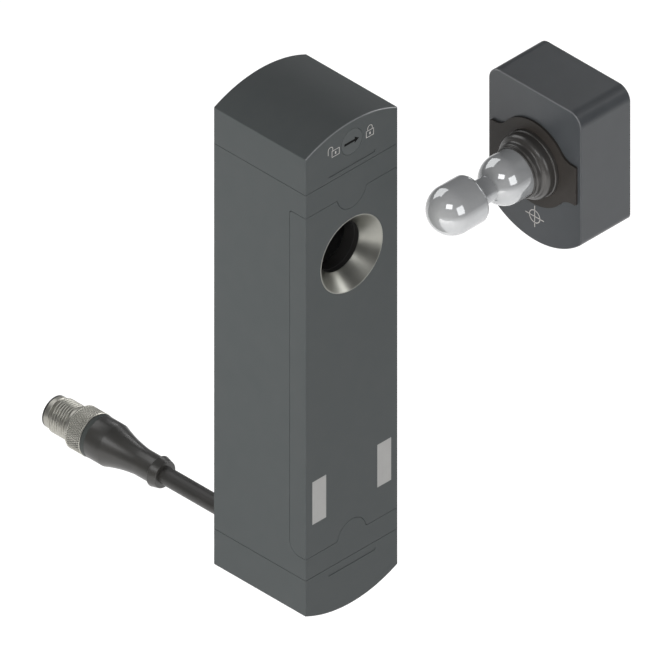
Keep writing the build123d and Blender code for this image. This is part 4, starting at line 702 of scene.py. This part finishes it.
def padlock(x, z, opened):
    """The lines of a padlock whose body is centred at a place on the front."""
    half, low, high = LOCK_WIDTH / 2, z - LOCK_HEIGHT / 2, z + LOCK_HEIGHT / 2
    body = [(x - half, low), (x + half, low), (x + half, high), (x - half, high)]
    keyhole = [(x, z - KEYHOLE), (x, z + KEYHOLE)]
    middle = x - half - BOW + 0.35 if opened else x
    left_foot = high - 0.9 if opened else high
    shackle = [(middle + BOW, high)] + circle((middle, high + BOW_RISE), BOW, 0, pi, 16) + [(middle - BOW, left_foot)]
    return [(body, LOCK_LINE, True), (keyhole, 0.5, False), (shackle, LOCK_LINE, False)]


inked("closed_padlock_mark", padlock(7.9, 82.2, False), ON_FRONT, "tower")
inked("open_padlock_mark", padlock(-7.0, 82.3, True), ON_FRONT, "tower")
CROSS_Y, CROSS_REACH, CROSS_RADIUS, CROSS_LINE = -20.6, 4.0, 2.25, 0.3
inked("crosshair_mark", [
    (circle((0, CROSS_Y), CROSS_RADIUS), CROSS_LINE, True),
    ([(-CROSS_REACH, CROSS_Y), (CROSS_REACH, CROSS_Y)], CROSS_LINE, False),
    ([(0, CROSS_Y - CROSS_REACH), (0, CROSS_Y + CROSS_REACH)], CROSS_LINE, False)], ON_ACTUATOR, "actuator")

# %% [markdown]
# The arrow in the dial is a slot that is filled with black, to just below the dial's face. The filling is a flat
# prism with the arrow's outline. It rides on the dial, so it turns with it.

# %% Filling of the arrow
ARROW_FLOOR, ARROW_TOP, DIAL_AXIS = -0.39, -0.06, 82.85
tip, neck, half_head, half_shaft = 3.18, 1.26, 1.18, 0.43
arrow = [(-tip, half_shaft), (neck, half_shaft), (neck, half_head), (tip, 0), (neck, -half_head), (neck, -half_shaft),
         (-tip, -half_shaft)]
shape = bmesh.new()
foot = [shape.verts.new((x, DIAL_AXIS + y, ARROW_FLOOR)) for x, y in arrow]
floor_face = shape.faces.new(foot)
lifted = bmesh.ops.extrude_face_region(shape, geom=[floor_face])["geom"]
top_points = [made for made in lifted if isinstance(made, bmesh.types.BMVert)]
bmesh.ops.translate(shape, verts=top_points, vec=(0, 0, ARROW_TOP - ARROW_FLOOR))
bmesh.ops.recalc_face_normals(shape, faces=shape.faces)
arrow_mesh = bpy.data.meshes.new("arrow_filling")
shape.to_mesh(arrow_mesh)
shape.free()
placed("arrow_filling", arrow_mesh, ON_FRONT, "release", "dial", material="arrow_black")

# %% [markdown]
# The studio's lamps are soft boxes. Three of them show as bright rectangles in the polished tongue: one behind
# the object, one high beside the camera and one in front. Their places follow from where the tongue mirrors them,
# because a ball's highlight lies where its surface points halfway between lamp and camera. Two more stand on the
# right. The socket's cone mirrors the first, and the rounded edges and the right sides catch the second. Both stand
# so near to the tongue's own axis that its cylinder doesn't mirror them as a white line. A broad one on the left
# lights the sides that face it and mirrors nowhere, as if behind a screen. The last is small and near: it hangs
# over the plug and draws the band along its flare. Every lamp is as bright as a face of its radiance, whatever its
# size, so its power is worked out from how many degrees of the sky it fills.

# %% Lamps
STUDIO_DISTANCE = 1.0


def soft_box(name, direction, degrees, radiance, mirrored=True, centre=VIEW_CENTRE, distance=STUDIO_DISTANCE,
             tint=(1, 1, 1)):
    """A lamp that looks that many degrees wide and high, and that bright, from a centre."""
    away = Vector(direction).normalized()
    wide, high = (2 * distance * sin(radians(a) / 2) for a in degrees)
    data = bpy.data.lights.new(name, "AREA")
    data.shape, data.size, data.size_y = "RECTANGLE", wide, high
    data.energy = radiance * pi * wide * high
    data.color = tint
    lamp = bpy.data.objects.new(name, data)
    lamp.location = centre + away * distance
    lamp.rotation_mode = "QUATERNION"
    lamp.rotation_quaternion = away.to_track_quat("Z", "Y")
    lamp.visible_camera = False
    lamp.visible_glossy = mirrored
    bpy.context.scene.collection.objects.link(lamp)
    return lamp


ABOVE_PLUG = Vector((0, 60, CABLE_HEIGHT)) * MM
soft_box("rear_box", (0.06, 0.81, 0.585), (40, 42), 1.8)
soft_box("socket_box", (0.90, -0.20, 0.37), (36, 40), 4.4)
soft_box("right_box", (0.77, 0.45, 0.45), (14, 14), 3.8)
soft_box("high_box", (-0.577, -0.353, 0.732), (27, 20), 3.4)
soft_box("front_box", (-0.014, -0.918, 0.397), (32, 35), 2.4)
soft_box("left_fill", (-1.0, -0.34, 0.10), (60, 60), 5.0, mirrored=False, tint=(1.02, 1.0, 0.975))
soft_box("plug_box", (-0.70, 0.02, 0.70), (24, 20), 3.6, centre=ABOVE_PLUG, distance=0.15)
print(len(bpy.data.lights), "lamps")

# %% [markdown]
# The floor is far below the object and shines a little itself, so the picture's ground is plain white with hardly
# a shadow. The same white floor is what the lower half of the polished tongue mirrors. The sky is an even, dim grey.

# %% Sky and floor
SKY, FLOOR_GLOW = 0.15, 0.38
world = bpy.data.worlds.new("studio_sky")
bpy.context.scene.world = world
world.use_nodes = True
background = world.node_tree.nodes["Background"]
background.inputs["Color"].default_value = (SKY, SKY, 1.02 * SKY, 1)

finish("studio_floor", (0.80, 0.80, 0.80), (0.82, 0.82, 0.82), (0.8, 0.9), (20 * MM, 0.01 * MM), patch=400 * MM,
       sheen_level=0.1)
floor_shader = FINISHES["studio_floor"].node_tree.nodes["Principled BSDF"]
floor_shader.inputs["Emission Color"].default_value = (1, 1, 1, 1)
floor_shader.inputs["Emission Strength"].default_value = FLOOR_GLOW
FLOOR_DROP, FLOOR_REACH, FLOOR_THICKNESS = 300, 3000, 10
shape = bmesh.new()
bmesh.ops.create_grid(shape, x_segments=8, y_segments=8, size=FLOOR_REACH)
floor_mesh = bpy.data.meshes.new("studio_floor")
shape.to_mesh(floor_mesh)
shape.free()
floor_mesh.transform(Matrix.Scale(MM, 4) @ Matrix.Translation((0, 0, -FLOOR_DROP)))
floor_mesh.materials.append(FINISHES["studio_floor"])
studio_floor = bpy.data.objects.new("studio_floor", floor_mesh)
bpy.context.scene.collection.objects.link(studio_floor)
print("floor", FLOOR_DROP, "mm below the middle")
